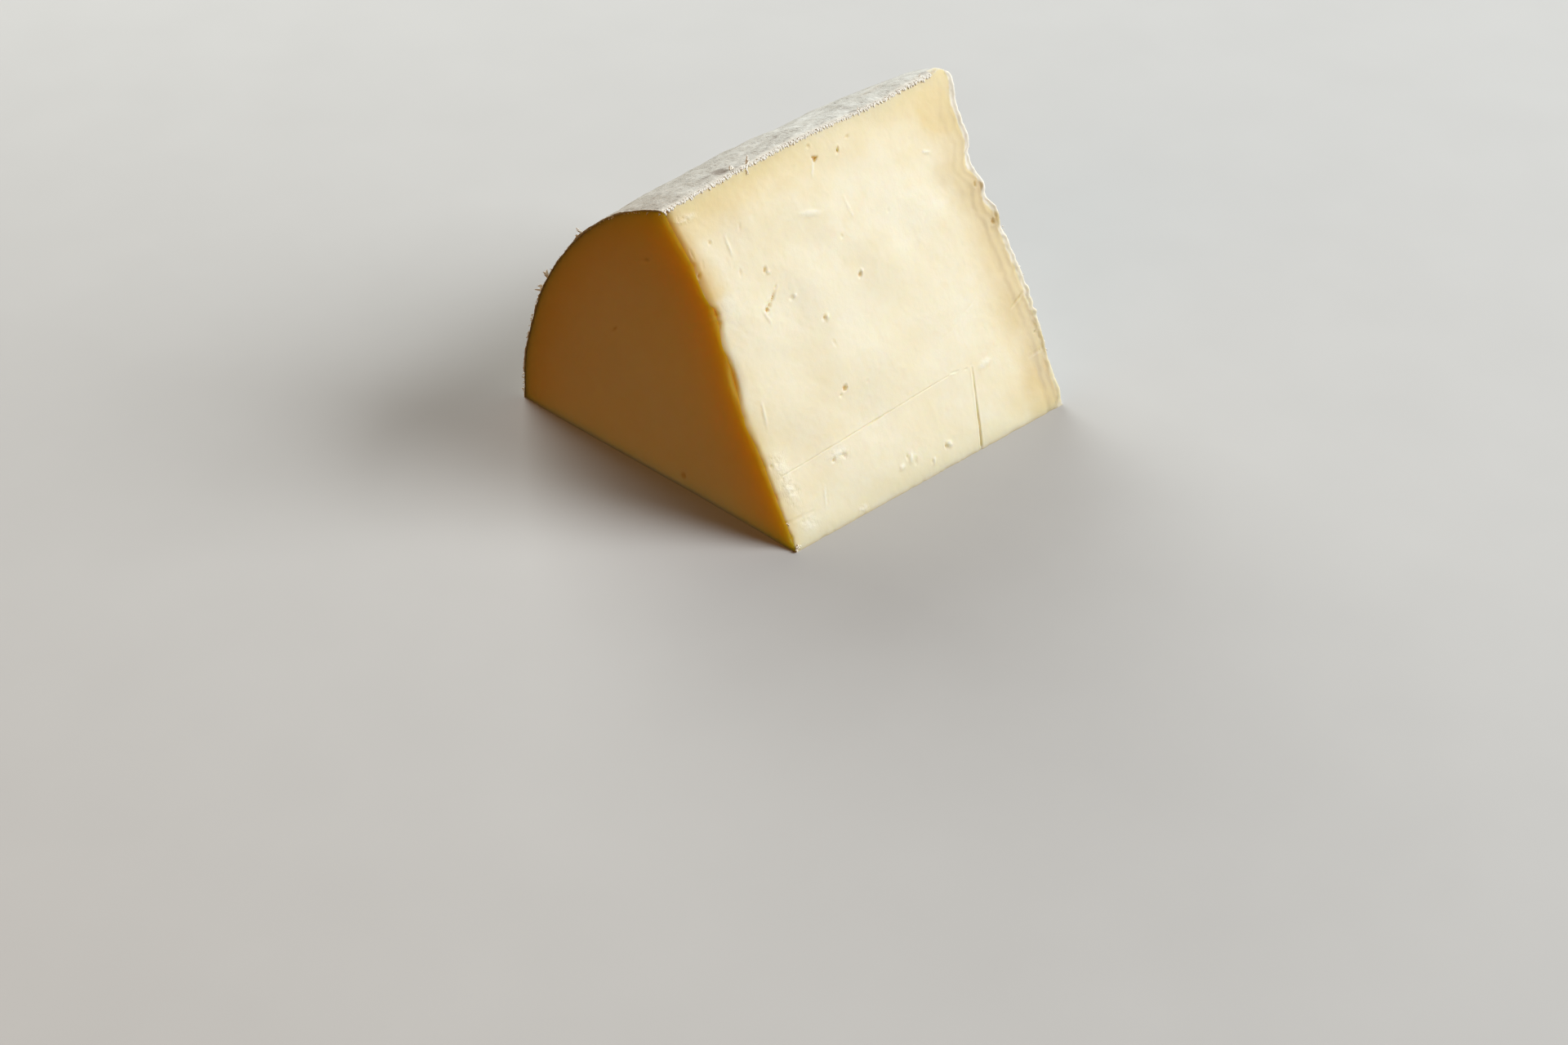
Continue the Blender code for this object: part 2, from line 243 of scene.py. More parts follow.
# %% Curves and noise
# Corners before a noise repeats itself: in the solid's broad forms, and in fine marks.
SOLID_SPAN = 32
MARK_SPAN = 257


def clamp(t):
    """0 below 0, 1 above 1, and t itself between them."""
    return np.clip(t, 0.0, 1.0)


def ease(t):
    """0 below 0, 1 above 1, and three t squared less two t cubed between them."""
    t = clamp(t)
    return t * t * (3.0 - 2.0 * t)


def bell_of(distance, reach=1, power=2):
    """1 at no distance, falling as e to the minus (distance over reach) to a power."""
    return np.exp(-((distance / reach) ** power))


def bells_along(place, rows):
    """Sum of bells; each row holds a bell's middle, half width and height."""
    return sum(height * bell_of(place - middle, half) for middle, half, height in rows)


def lattice_noise(u, v, seed, span=MARK_SPAN):
    """Seeded numbers from -1 to 1 on a lattice, joined by eased steps between its corners."""
    table = np.random.default_rng(seed).uniform(-1.0, 1.0, (span, span))
    iu = np.floor(u).astype(int)
    iv = np.floor(v).astype(int)
    fu = ease(u - iu)
    fv = ease(v - iv)
    low = table[iu % span, iv % span] * (1 - fu) + table[(iu + 1) % span, iv % span] * fu
    high = table[iu % span, (iv + 1) % span] * (1 - fu)
    high = high + table[(iu + 1) % span, (iv + 1) % span] * fu
    return low * (1 - fv) + high * fv


def layered_noise(u, v, cell, seed, layers=3):
    """Noise summed over layers, each of half the cell and half the height of the last."""
    total = np.zeros(np.broadcast(u, v).shape)
    for layer in range(layers):
        size = cell / 2**layer
        total = total + lattice_noise(u / size, v / size, seed + layer) / 2**layer
    return total


def read_table(place, table):
    """Every later row of a table, read between the places in its first row."""
    return [np.interp(place, table[0], row) for row in table[1:]]


# %% Cross cut
CUT_SLANT = -0.1133
CUT_LEAN = 0.0549
CUT_RELIEF = 0.2
CUT_CELL = 16
HOLLOW_DEPTH = 3.4
HOLLOW_R = 62
HOLLOW_WIDTH = 17
HOLLOW_START = 0.45


def cross_cut_x(r, phi):
    """Place of the cross cut: a plane slanting with y and z, plus a bell of hollow and noise."""
    y = r * np.cos(phi)
    z = r * np.sin(phi)
    upper = ease((phi / WEDGE_ANGLE - HOLLOW_START) / (1 - HOLLOW_START))
    hollow = HOLLOW_DEPTH * bell_of(r - HOLLOW_R, HOLLOW_WIDTH) * upper
    relief = CUT_RELIEF * lattice_noise(y / CUT_CELL, z / CUT_CELL, 3, SOLID_SPAN)
    return CUT_SLANT * y + CUT_LEAN * z + hollow + relief


print("cross cut begins at x", cross_cut_x(DRUM_RADIUS, 0.0).round(1), "mm at the base")

# %% Rind end
CAP_HEM = 13
CAP_STEP = 0.6
GATHERS = 19
GATHER_DEPTH = 0.35
END_RELIEF = 0.5
END_CELL = 15
CRAG_REACH = 11
# Each crag: distance from the axis edge, half width, and depth (a lump where negative).
END_CRAGS = (
    (66.5, 4.5, 2.8), (57.5, 2.8, 1.6), (79, 6, 0.8), (88, 2.8, -0.9),
    (30, 13, -1.1), (0, 4, 0.7),
)


def rind_end_x(r, phi, hem_lift=1.0):
    """Place of the rind end: a flat end with a gathered hem, lumps, and crags at the cut."""
    y = r * np.cos(phi)
    z = r * np.sin(phi)
    hem = ease((r - (DRUM_RADIUS - CAP_HEM)) / 2)
    gathers = GATHER_DEPTH * np.cos(phi * GATHERS * 2) * hem
    relief = END_RELIEF * lattice_noise(y / END_CELL + 7, z / END_CELL + 5, 5, SOLID_SPAN)
    beside_cut = np.exp(-(WEDGE_ANGLE - phi) * r / CRAG_REACH)
    crags = bells_along(r, END_CRAGS)
    lift = (CAP_STEP * hem + gathers) * hem_lift + relief
    return END_X + lift * (1 - beside_cut) - crags * beside_cut


print("rind end lies at x", rind_end_x(DRUM_RADIUS, 0.0).round(1), "mm at the base")

# %% Round side
SAG_START = math.radians(8)
SAG_DEPTH = 5.6
EDGE_CURL = 2.5
EDGE_CURL_POWER = 7
BARREL_RISE = 3.5
BARREL_MID = 62
RIND_RELIEF = 0.35
RIND_CELL = 13
LIP_START = 70
LIP_LENGTH = 18
LIP_RISE = 3.1
LIP_REACH = 9
LIP_ROLL = 1.7
LIP_ROLL_REACH = 1.6
OVERLAP_X = 61
OVERLAP_SLANT = 6
OVERLAP_STEP = 0.3
OVERLAP_WIDTH = 3


def rind_radius(x, phi):
    """Radius of the round side: a drum that sags towards the cut, with barrel, lip and step."""
    t = clamp((phi - SAG_START) / (WEDGE_ANGLE - SAG_START))
    sag = SAG_DEPTH * t**2 + EDGE_CURL * t**EDGE_CURL_POWER
    barrel = BARREL_RISE * (1 - ((BARREL_MID - x) / BARREL_MID) ** 2)
    to_cut = (WEDGE_ANGLE - phi) * DRUM_RADIUS
    lip = LIP_RISE * np.exp(-to_cut / LIP_REACH) - LIP_ROLL * np.exp(-to_cut / LIP_ROLL_REACH)
    lip = lip * ease((x - LIP_START) / LIP_LENGTH)
    seam_x = OVERLAP_X + OVERLAP_SLANT * (WEDGE_ANGLE - phi)
    overlap = OVERLAP_STEP * (ease((x - seam_x) / OVERLAP_WIDTH) - 0.4)
    cells_round = phi * DRUM_RADIUS / RIND_CELL
    relief = RIND_RELIEF * lattice_noise(x / RIND_CELL + 9, cells_round, 8, SOLID_SPAN)
    return DRUM_RADIUS - sag + barrel + lip + overlap + relief


print("radius at the upper cut:", rind_radius(0.0, WEDGE_ANGLE).round(1), "mm")

# %% The wedge as a mapping
RIM_RADIUS = 2.6


def round_corner(first, second, radius):
    """Pull two depths below two faces inwards so that the corner between them is an arc."""
    along = np.clip(radius - first, 0.0, None)
    out = np.clip(radius - second, 0.0, None)
    far = np.hypot(along, out)
    kept = np.where(far > 0, np.maximum(along, out) / np.maximum(far, 1e-9), 1.0)
    return along * (1 - kept), out * (1 - kept)


def wedge_place(s, rho, phi, inset=0.0, hem_lift=1.0, end_inset=None):
    """Along-axis and outward place of (s, rho, phi) in a wedge whose rind is inset."""
    end_inset = inset if end_inset is None else end_inset
    r = rho * DRUM_RADIUS
    x = (1 - s) * cross_cut_x(r, phi) + s * rind_end_x(r, phi, hem_lift)
    outer = rind_radius(x, phi) - inset
    r = rho * outer
    end = rind_end_x(r, phi, hem_lift) - end_inset
    x = (1 - s) * cross_cut_x(r, phi) + s * end
    rim = np.maximum(RIM_RADIUS - inset, 0.8)
    back, down = round_corner(end - x, outer - r, rim)
    return x - back, r - down, end, outer


def on_wedge(x, r, phi):
    """Point at x along the axis, r out from it, and phi round from the base."""
    return np.stack([x, r * np.cos(phi), r * np.sin(phi)], axis=-1)


corner_x, corner_r, _, _ = wedge_place(1.0, 1.0, WEDGE_ANGLE)
print("upper far corner, x and r in millimetres:", corner_x.round(1), corner_r.round(1))

# %% [markdown]
# ## Skins on a block
# The paste, the bandage and the cap are each a block of this mapping, so one
# function makes the quads of a block's six sides with numpy. Where a side shrinks
# to the axis edge, its corners are shared, so the surface closes without a seam.


# %% Block skins and meshes
def side_quads(sheet):
    """Four corner numbers for every cell of a sheet of numbers, in order round it."""
    corners = [sheet[:-1, :-1], sheet[1:, :-1], sheet[1:, 1:], sheet[:-1, 1:]]
    return np.stack(corners, axis=-1).reshape(-1, 4)


def block_skin(counts, zero_axis=None, merged_axis=None, flat_base=False):
    """Lattice places and outward faces of a block.

    Where the place on zero_axis is 0, all places along merged_axis are one point. A
    flat base is a single face round the rim of the third axis's first side.
    """
    place = np.array(np.indices(counts))
    if zero_axis is not None:
        place[merged_axis][place[zero_axis] == 0] = 0
    numbers = np.ravel_multi_index(place, counts)
    quads = []
    for axis in range(3):
        block = numbers.transpose(axis, (axis + 1) % 3, (axis + 2) % 3)
        quads.append(side_quads(block[-1]))
        if not (flat_base and axis == 2):
            quads.append(side_quads(block[0])[:, ::-1])
    quads = np.concatenate(quads)
    repeated = quads == np.roll(quads, 1, axis=1)
    doubles = repeated.sum(axis=1)
    triangles = quads[doubles == 1][~repeated[doubles == 1]].reshape(-1, 3)
    quads = quads[doubles == 0]
    used = np.unique(np.concatenate([quads.ravel(), triangles.ravel()]))
    faces = np.searchsorted(used, quads).tolist() + np.searchsorted(used, triangles).tolist()
    if flat_base:
        sheet = numbers[:, :, 0]
        rim = [sheet[0, :-1], sheet[:-1, -1], sheet[-1, :0:-1], sheet[:0:-1, 0]]
        faces.append(np.searchsorted(used, np.concatenate(rim)).tolist())
    return np.unravel_index(used, counts), faces


def even_lines(length, spacing, crowds=()):
    """Places from 0 to 1 about spacing apart, closer by a factor near each crowd.

    The wanted density is 1 plus a bell for each crowd, and its running sum is read
    backwards at even steps.
    """
    fine = np.linspace(0.0, length, 4001)
    density = np.ones_like(fine)
    for place, reach, factor in crowds:
        density = density + factor * bell_of(fine - place, reach)
    total = np.concatenate([[0.0], np.cumsum((density[1:] + density[:-1]) / 2)])
    count = int(round(total[-1] * length / 4000 / spacing))
    return np.interp(np.linspace(0.0, total[-1], count + 1), total, fine) / length


def mesh_piece(name, points, faces, material, crease=45, values=None, uv=None):
    """A mesh from points in millimetres, smooth but for creases, riding on the root body."""
    mesh = bpy.data.meshes.new(name)
    mesh.from_pydata(((points - BASE_CENTRE) / 1000.0).tolist(), [], faces)
    mesh.validate()
    mesh.polygons.foreach_set("use_smooth", np.ones(len(mesh.polygons), dtype=bool))
    mesh.set_sharp_from_angle(angle=math.radians(crease))
    for key, value in (values or {}).items():
        layer = mesh.attributes.new(key, "FLOAT", "POINT")
        layer.data.foreach_set("value", np.ascontiguousarray(value, dtype=np.float32))
    if uv is not None:
        corner_vertex = np.empty(len(mesh.loops), dtype=np.int32)
        mesh.loops.foreach_get("vertex_index", corner_vertex)
        layer = mesh.uv_layers.new(name="weave")
        layer.uv.foreach_set("vector", uv[corner_vertex].astype(np.float32).ravel())
    mesh.materials.append(material)
    piece = bpy.data.objects.new(name, mesh)
    bpy.context.scene.collection.objects.link(piece)
    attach(piece, "root")
    triangles = sum(len(face) - 2 for face in faces)
    print(name, "vertices", len(points), "triangles", triangles)
    return piece


# %% [markdown]
# ## Paste material
# The paste is pale cream and lets light in for a few millimetres: red goes
# deepest, so thin edges glow amber. That is subsurface scattering with a long red
# radius, and that glow is painted into the colour as well: amber on the shaded cross
# cut beside the upper cut, and gold and orange on the upper cut beside that edge, over
# painted warm bounce light on the whole cross cut. The bright upper cut and the dry
# crust look denser, so the mesh carries how deep the light goes. The colour is nearly
# even, but it deepens to yellow under the round rind, to tan beside the far end, and to
# milky white where the knife smeared it. Holes and knife lines carry painted shade.

# %% Paste material
CREAM = (0.88, 0.80, 0.585, 1.0)
CREAM_DEEP = (0.86, 0.75, 0.485, 1.0)
UNDER_RIND = (0.81, 0.64, 0.31, 1.0)
UNDER_END = (0.60, 0.455, 0.235, 1.0)
MILKY = (0.90, 0.865, 0.72, 1.0)
# HOLE_SHADE is painted shade in holes, nicks and knife lines.
HOLE_SHADE = (0.70, 0.48, 0.16, 1.0)
# AMBER is painted light: the glow of light through the thin paste, laid on the shaded cross cut.
AMBER = (0.99, 0.64, 0.035, 1.0)
# GLOW_ORANGE is painted light: warm bounce on the shaded cross cut, and glow and chip shade along
# the edge on the upper cut.
GLOW_ORANGE = (0.80, 0.47, 0.11, 1.0)
CRUST_CREAM = (0.95, 0.89, 0.77, 1.0)

paste_material, shader, place = new_material("paste")
clouds = ramp_of(noise_of(place, 14, 3.0, 0.55, 0.4), 0.35, 0.68)
curds = ramp_of(noise_of(place, 3.2, 3.0, 0.6, 0.3), 0.42, 0.66)
body = blend_of(times(clouds, 0.55), CREAM, CREAM_DEEP)
body = blend_of(times(curds, 0.26), body, CREAM_DEEP)

side_depth = math_of("ADD", attribute_of(shader, "under_side"), times(noise_of(place, 9, 3.0), 8.0))
side_band = rest_of(ramp_of(side_depth, 2.5, 16.0))
body = blend_of(times(side_band, 0.85), body, UNDER_RIND)
end_depth = math_of("ADD", attribute_of(shader, "under_end"), times(noise_of(place, 7, 3.0), 6.0))
end_band = rest_of(ramp_of(end_depth, 2.0, 14.0))
body = blend_of(times(end_band, 0.45), body, UNDER_END)
milk = attribute_of(shader, "milk")
for share, colour in (
    (attribute_of(shader, "warm"), UNDER_RIND),
    (attribute_of(shader, "crust"), CRUST_CREAM),
    (attribute_of(shader, "tan"), UNDER_END),
    (times(milk, 0.8), MILKY),
    # Painted warm bounce light, painted edge glow and chip shade, and streaks by the far end.
    (attribute_of(shader, "painted_light_and_streaks"), GLOW_ORANGE),
    # Painted amber glow on the cross cut.
    (attribute_of(shader, "amber"), AMBER),
    # Painted shade in holes and knife lines.
    (times(ramp_of(attribute_of(shader, "hole"), 0.15, 0.75), 0.7), HOLE_SHADE),
):
    body = blend_of(share, body, colour)

wax = {"Value": noise_of(place, 5, 3.0, 0.6), "To Min": 0.42, "To Max": 0.62}
rough_map = add_node(shader.id_data, "ShaderNodeMapRange", wax)
flakes = times(noise_of(place, 0.8, 3.0, 0.6), attribute_of(shader, "crumbly"))
normal = bump_of(noise_of(place, 2.6, 3.0, 0.55, 0.6), 0.030)
normal = bump_of(times(noise_of(place, 0.9, 4.0, 0.65), milk), 0.12, normal)
normal = bump_of(flakes, 0.20, normal)
normal = bump_of(noise_of(place, 0.55, 2.0, 0.6), 0.014, normal)
looks = {"Base Color": body, "Roughness": rough_map.outputs["Result"], "Normal": normal}
light = {"Subsurface Weight": attribute_of(shader, "deep"), "Specular IOR Level": 0.40}
light |= {"Subsurface Radius": (1.0, 0.74, 0.36), "Subsurface Scale": 0.0085}
fill(shader, looks | light)

# %% [markdown]
# ## Marks on the upper cut
# The knife left its story on this face: a long line, an upright nick, small holes
# where curds didn't knit, and smears. Each mark is a short formula of a place's
# distance from it, and they are summed to one height above the face.

# %% Lines and holes
# Lines: start (x, r), end (x, r), half width, depth, wobble.
KNIFE_LINES = (
    ((3.9, 17.9), (60.6, 20.8), 0.16, 0.18, 0.06),
    ((67.75, 19.6), (61.9, -1.2), 0.26, 0.95, 0.04),
    ((79.5, 37), (70.1, 32.1), 0.2, 0.1, 0.15),
    ((70.1, 32.1), (61, 29.2), 0.18, 0.08, 0.15),
    ((0.1, 7.3), (8.7, 7), 0.2, 0.28, 0.1),
    ((86, 28.6), (91.6, 31), 0.22, 0.3, 0.2),
    ((86.2, 15.4), (92, 15.7), 0.18, 0.22, 0.25),
    ((2.4, 75.5), (2.7, 72.8), 0.22, 0.3, 0.2),
    ((4.6, 72.1), (3.9, 70.1), 0.18, 0.22, 0.15),
    ((18, 76.4), (17.2, 74.6), 0.2, 0.25, 0.15),
    ((13.4, 66.5), (13, 65), 0.25, 0.3, 0.2),
    ((20.8, 58.6), (18.3, 56.4), 0.26, 0.55, 0.25),
    ((18.3, 56.4), (17.3, 55.3), 0.36, 0.8, 0.25),
    ((52.3, 83.4), (51.7, 81.9), 0.22, 0.75, 0.1),
    ((60.3, 64.9), (60.1, 63.6), 0.2, 0.3, 0.1),
    ((30.9, 41.8), (31.6, 40), 0.24, 0.35, 0.25),
    ((14.7, 11.8), (12.7, 6.9), 0.2, 0.25, 0.4),
    ((39.8, 8.4), (39.6, 7), 0.26, 0.45, 0.1),
    ((41.9, 6.4), (41.4, 4.9), 0.26, 0.45, 0.1),
    ((46.6, 4.1), (46.4, 3.1), 0.22, 0.35, 0.1),
    ((51.9, 5.8), (51.8, 4.8), 0.26, 0.4, 0.1),
)
# Holes: (x, r), long and short half widths, turn in degrees, depth.
HOLES = (
    ((8.3, 75), 0.4, 0.3, 0, 0.35),
    ((2.6, 69.1), 0.6, 0.4, 60, 0.5),
    ((20, 63.9), 0.65, 0.4, 60, 0.45),
    ((16.6, 55.1), 0.6, 0.45, 66, 0.8),
    ((21.2, 59.1), 0.45, 0.35, 0, 0.3),
    ((24.4, 55.2), 0.55, 0.45, 20, 0.3),
    ((31.1, 47.6), 0.55, 0.4, 66, 0.4),
    ((45.6, 53.1), 0.75, 0.4, 40, 0.5),
    ((44.3, 63.4), 0.4, 0.35, 0, 0.25),
    ((44.2, 86.3), 0.5, 0.35, 0, 0.3),
    ((56, 84.7), 0.5, 0.35, 0, 0.3),
    ((29.6, 30), 0.7, 0.55, 66, 0.6),
    ((27.8, 28.8), 0.4, 0.3, 0, 0.35),
    ((36.4, 29), 0.4, 0.3, 0, 0.2),
    ((19.1, 15.7), 0.55, 0.4, 20, 0.45),
    ((22.3, 15.4), 0.8, 0.35, -30, 0.45),
    ((1.5, 59.4), 0.4, 0.32, 0, 0.35),
    ((2, 21.3), 0.5, 0.4, 0, 0.35),
    ((62.2, 20.9), 1.1, 0.28, -8, 0.16),
    ((66, 20.2), 0.6, 0.28, -20, 0.12),
    ((88.6, 61), 0.55, 0.35, 60, 0.4),
    ((90.2, 50.7), 0.75, 0.45, 80, 0.5),
    ((90.9, 20.5), 0.4, 0.3, 0, 0.16),
)
# Three-cornered hole: its corners (x, r) and its depth.
CORNERED_HOLE = ((43.9, 84.0), (44.3, 82.0), (46.2, 83.2))
CORNERED_DEPTH = 0.8
print(len(KNIFE_LINES), "knife lines,", len(HOLES) + 1, "holes")

# %% Smears and patches
# Smears and flakes that stand up: (x, r), long and short half widths, turn, height.
SMEARS = (
    ((12.9, 72.2), 2.6, 0.35, 90, 0.16),
    ((20.6, 63.2), 0.6, 0.4, -20, 0.3),
    ((15.9, 53.5), 1.8, 0.3, -75, 0.22),
    ((31.9, 47.2), 0.7, 0.5, 66, 0.4),
    ((25.6, 55.4), 0.5, 0.4, 0, 0.22),
    ((37.8, 71.7), 3.4, 0.8, -15, 0.1),
    ((49.2, 69.4), 2.4, 0.35, -84, 0.1),
    ((77.6, 73.4), 1.3, 0.4, -20, 0.14),
    ((46.4, 53.6), 0.6, 0.35, 40, 0.25),
    ((43.3, 81.2), 1.9, 0.35, 62, 0.08),
    ((5.2, 33), 2.7, 0.35, 80, 0.2),
    ((53.2, 5.3), 0.9, 0.6, -30, 0.45),
    ((37.1, 5.9), 1, 0.6, 0, 0.2),
    ((72.2, 19.3), 2.2, 0.9, 10, 0.12),
    ((40.6, 6.9), 1.2, 0.5, 60, 0.22),
    ((47.1, 3.4), 0.7, 0.4, 60, 0.22),
    ((13.4, 9), 2.4, 0.35, 68, 0.14),
)
# Rough patches where the paste crumbled: (x, r), half widths and strength.
ROUGH_PATCHES = (
    ((4.2, 20.5), 2.2, 3.6, 0.26),
    ((4.4, 14.5), 1.9, 4.2, 0.28),
    ((20.9, 16.2), 3, 1.5, 0.24),
    ((6.1, 4.8), 2.4, 1.5, 0.22),
    ((4, 82.3), 3.6, 1, 0.26),
    ((41, 6.6), 2.4, 1.8, 0.1),
    ((22.4, 1.6), 1.4, 1, 0.25),
    ((61.6, 20.8), 1.6, 0.5, 0.16),
    ((10, 60), 5, 8, 0.04),
    ((53.2, 5.3), 1.2, 0.8, 0.2),
)
# Warm patches, yellower than the rest: (x, r), half widths, turn and strength.
WARM_PATCHES = (
    ((14, 83.5), 16, 4.5, -2, 0.85),
    ((8, 76), 7, 6, -30, 0.35),
    ((85, 81.5), 9, 7.5, -12, 1.6),
    ((4, 45), 5, 28, 2, 0.32),
    ((22, 26), 16, 10, 10, 0.16),
    ((3, 5), 4, 6, 0, 0.3),
)
# Milky patches: (x, r), half widths, turn and strength.
MILKY_PATCHES = (
    ((6.6, 64), 4.6, 8.5, 0, 0.95),
    ((4.5, 82.2), 3.6, 1, -8, 0.9),
    ((20.9, 16.5), 3.6, 2, 0, 0.8),
    ((4.6, 17), 2.6, 7, 0, 0.5),
    ((24, 52), 8, 9, 0, 0.35),
    ((42, 62), 16, 9, 30, 0.35),
    ((66, 62), 12, 12, 0, 0.4),
    ((60, 36), 12, 8, 0, 0.3),
    ((45, 25), 20, 5, 5, 0.2),
    ((6, 4.5), 3, 2.2, 0, 0.7),
    ((72.2, 19.3), 3, 1.4, 0, 0.6),
    # The last patch, beside the edge between the cuts, is a painted highlight.
    ((1.8, 46.5), 1.6, 3.6, 0, 0.8),
)
print(len(SMEARS), "smears,", len(ROUGH_PATCHES), "rough patches")


# %% Distances from a mark
def line_distance(x, r, start, end, wobble):
    """Distance from a stretch that wobbles, and how far along it a place lies, 0 to 1."""
    run = np.subtract(end, start)
    length = np.hypot(*run)
    u = ((x - start[0]) * run[0] + (r - start[1]) * run[1]) / length
    v = ((r - start[1]) * run[0] - (x - start[0]) * run[1]) / length
    v = v + wobble * lattice_noise(u / 2.7, np.full_like(u, start[0]), 21, SOLID_SPAN)
    past = np.maximum(np.maximum(-u, u - length), 0.0)
    return np.hypot(v, past), clamp(u / length)


def oval_distance(x, r, middle, long_half, short_half, turn=0):
    """Distance from an oval's middle, as a share of its rim's distance."""
    angle = math.radians(turn)
    u = (x - middle[0]) * math.cos(angle) + (r - middle[1]) * math.sin(angle)
    v = (r - middle[1]) * math.cos(angle) - (x - middle[0]) * math.sin(angle)
    return np.hypot(u / long_half, v / short_half)


def inside_corners(x, r, corners):
    """Least distance inwards from the three sides of a triangle whose corners run anticlockwise."""
    depth = np.full_like(x, 1e9)
    for first, second in zip(corners, corners[1:] + corners[:1]):
        run = np.subtract(second, first)
        side = ((r - first[1]) * run[0] - (x - first[0]) * run[1]) / np.hypot(*run)
        depth = np.minimum(depth, side)
    return depth


# %% Marks on the upper cut
def upper_cut_marks(x, r):
    """Height of the upper cut in millimetres, and shares of hole, milk, warm and crumbly.

    The height is broad unevenness, curd grain and drag streaks, less a bell for each
    line and hole, plus a bell for each smear and a raised rim round each hole.
    """
    height = 0.024 * layered_noise(x, r, 2.6, 31) + 0.011 * layered_noise(x, r, 0.9, 35, 2)
    height = height + 0.012 * lattice_noise(x / 1.3, r / 7.0 + 0.15 * x, 41)
    # The hole share paints shade into each line and hole.
    hole = np.zeros_like(x)
    milk = 0.25 * clamp(layered_noise(x, r, 17.0, 43))
    ragged = 0.30 * layered_noise(x, r, 0.55, 45, 1)
    broken = layered_noise(x, r, 1.9, 47, 1)
    for start, end, half, depth, wobble in KNIFE_LINES:
        far, along = line_distance(x, r, start, end, wobble)
        taper = 0.25 + 0.75 * np.sin(math.pi * clamp(0.06 + 0.88 * along))
        taper = np.where(depth > 0.8, 0.12 + 0.88 * along, taper)
        bell = bell_of(far, half * (0.55 + 0.45 * taper)) * taper
        bell = bell * (0.75 + (0.25 if depth > 0.6 else 0.5) * broken)
        height = height - depth * bell
        height = height + 0.06 * depth * bell_of(far - 2.2 * half, half)
        hole = np.maximum(hole, bell * min(0.8, 0.2 + depth))
    for *oval, depth in HOLES:
        far = oval_distance(x, r, *oval) + ragged
        bell = bell_of(np.maximum(far, 0.0), 1, 3)
        height = height - depth * bell + 0.14 * depth * bell_of(far - 1.5, 0.4)
        hole = np.maximum(hole, bell * min(0.9, depth / 0.8))
    inwards = inside_corners(x, r, CORNERED_HOLE)
    height = height - CORNERED_DEPTH * ease((inwards + 0.02) / 0.45)
    hole = np.maximum(hole, 0.80 * ease((inwards + 0.05) / 0.35))
    warm = np.zeros_like(x)
    uneven = np.clip(1.0 + 0.3 * layered_noise(x, r, 6.0, 57), 0.0, 1.3)
    for *oval, strength in WARM_PATCHES:
        warm = np.maximum(warm, strength * bell_of(oval_distance(x, r, *oval)) * uneven)
    milk = milk * (1 - 0.8 * clamp(warm))
    for *oval, rise in SMEARS:
        far = oval_distance(x, r, *oval) + 0.7 * ragged
        bell = bell_of(np.maximum(far, 0.0), 1, 3)
        height = height + rise * bell
        milk = np.maximum(milk, 0.8 * bell)
    crumbled = layered_noise(x, r, 1.2, 51)
    crumbly = np.zeros_like(x)
    for *oval, strength in ROUGH_PATCHES:
        near = bell_of(oval_distance(x, r, *oval) + 0.5 * crumbled, 1, 4)
        crumbly = np.maximum(crumbly, near * ease(strength / 0.2 - 0.5))
        height = height + 0.65 * strength * near * crumbled
        milk = np.maximum(milk, near * strength * 3.0 * clamp(crumbled + 0.6))
    uneven = clamp(0.75 + layered_noise(x, r, 5.0, 55))
    for *oval, strength in MILKY_PATCHES:
        milk = np.maximum(milk, strength * bell_of(oval_distance(x, r, *oval)) * uneven)
    return height, hole, clamp(milk), clamp(warm), crumbly


trial = np.meshgrid(np.linspace(0, 90, 200), np.linspace(0, 85, 200))
trial_height = upper_cut_marks(*trial)[0]
print("marks run from", trial_height.min().round(2), "to", trial_height.max().round(2), "mm")

# %% [markdown]
# ## Paste
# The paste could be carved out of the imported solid, but its facets are coarse. It
# is worked out again from the mapping on a lattice that is fine on the upper cut.
# Lattice lines gather along the two knife lines and lean with them, so each stays
# crisp without a dense mesh everywhere. The rind's thickness is left off its outside.

# %% Lattice of the paste
PASTE_INSET = 0.7
UPPER_SPACING = 0.40
ANGLE_COUNT = 40
UPRIGHT_MID = 65.0
UPRIGHT_LEAN = 0.284
LINE_MID = 19.4


def lean_lines(s, rho):
    """Lean the lattice so that its gathered lines follow the upright nick and the long line."""
    outer = rind_radius(s * END_X, WEDGE_ANGLE) - PASTE_INSET
    nick = UPRIGHT_LEAN * (np.minimum(rho * outer, LINE_MID) - LINE_MID / 2)
    x = s * END_X + nick * bell_of(s * END_X - UPRIGHT_MID, 15.0)
    line_r = np.interp(x, (3.9, 62.0), (17.9, 20.9))
    middle = LINE_MID / DRUM_RADIUS
    rho = rho + (line_r / outer - middle) * bell_of(rho - middle, 0.09)
    return x / END_X, rho


columns = even_lines(
    END_X,
    UPPER_SPACING,
    ((0, 1.0, 2.5), (45, 1.0, 0.8), (52, 0.6, 1.5), (UPRIGHT_MID, 0.9, 2.2), (END_X, 2, 1.3)),
)
rows = even_lines(
    DRUM_RADIUS,
    UPPER_SPACING,
    ((0, 1.2, 0.8), (LINE_MID, 0.8, 2.0), (88, 1.5, 0.8), (DRUM_RADIUS, 2, 0.5)),
)
turns = 1 - (1 - np.linspace(0.0, 1.0, ANGLE_COUNT + 1)) ** 1.7
counts = (len(columns), len(rows), len(turns))
(i, j, k), paste_faces = block_skin(counts, zero_axis=1, merged_axis=2, flat_base=True)
on_upper = (k == len(turns) - 1) | (j == 0)
on_cross = i == 0
s, rho = lean_lines(columns[i], rows[j])
phi = turns[k] * WEDGE_ANGLE
phi = np.where(j == 0, 0.0, phi)
print("paste lattice has", len(s), "places")

# %% Paste inside the rind
CRUST_REACH = 1.8
CORNER_BUMP = 1.1
CORNER_START = 86.5
THIN_SHARE = 0.35
THIN_REACH = 6.0
CUT_THIN_SHARE = 0.55
CUT_THIN_REACH = 3.0
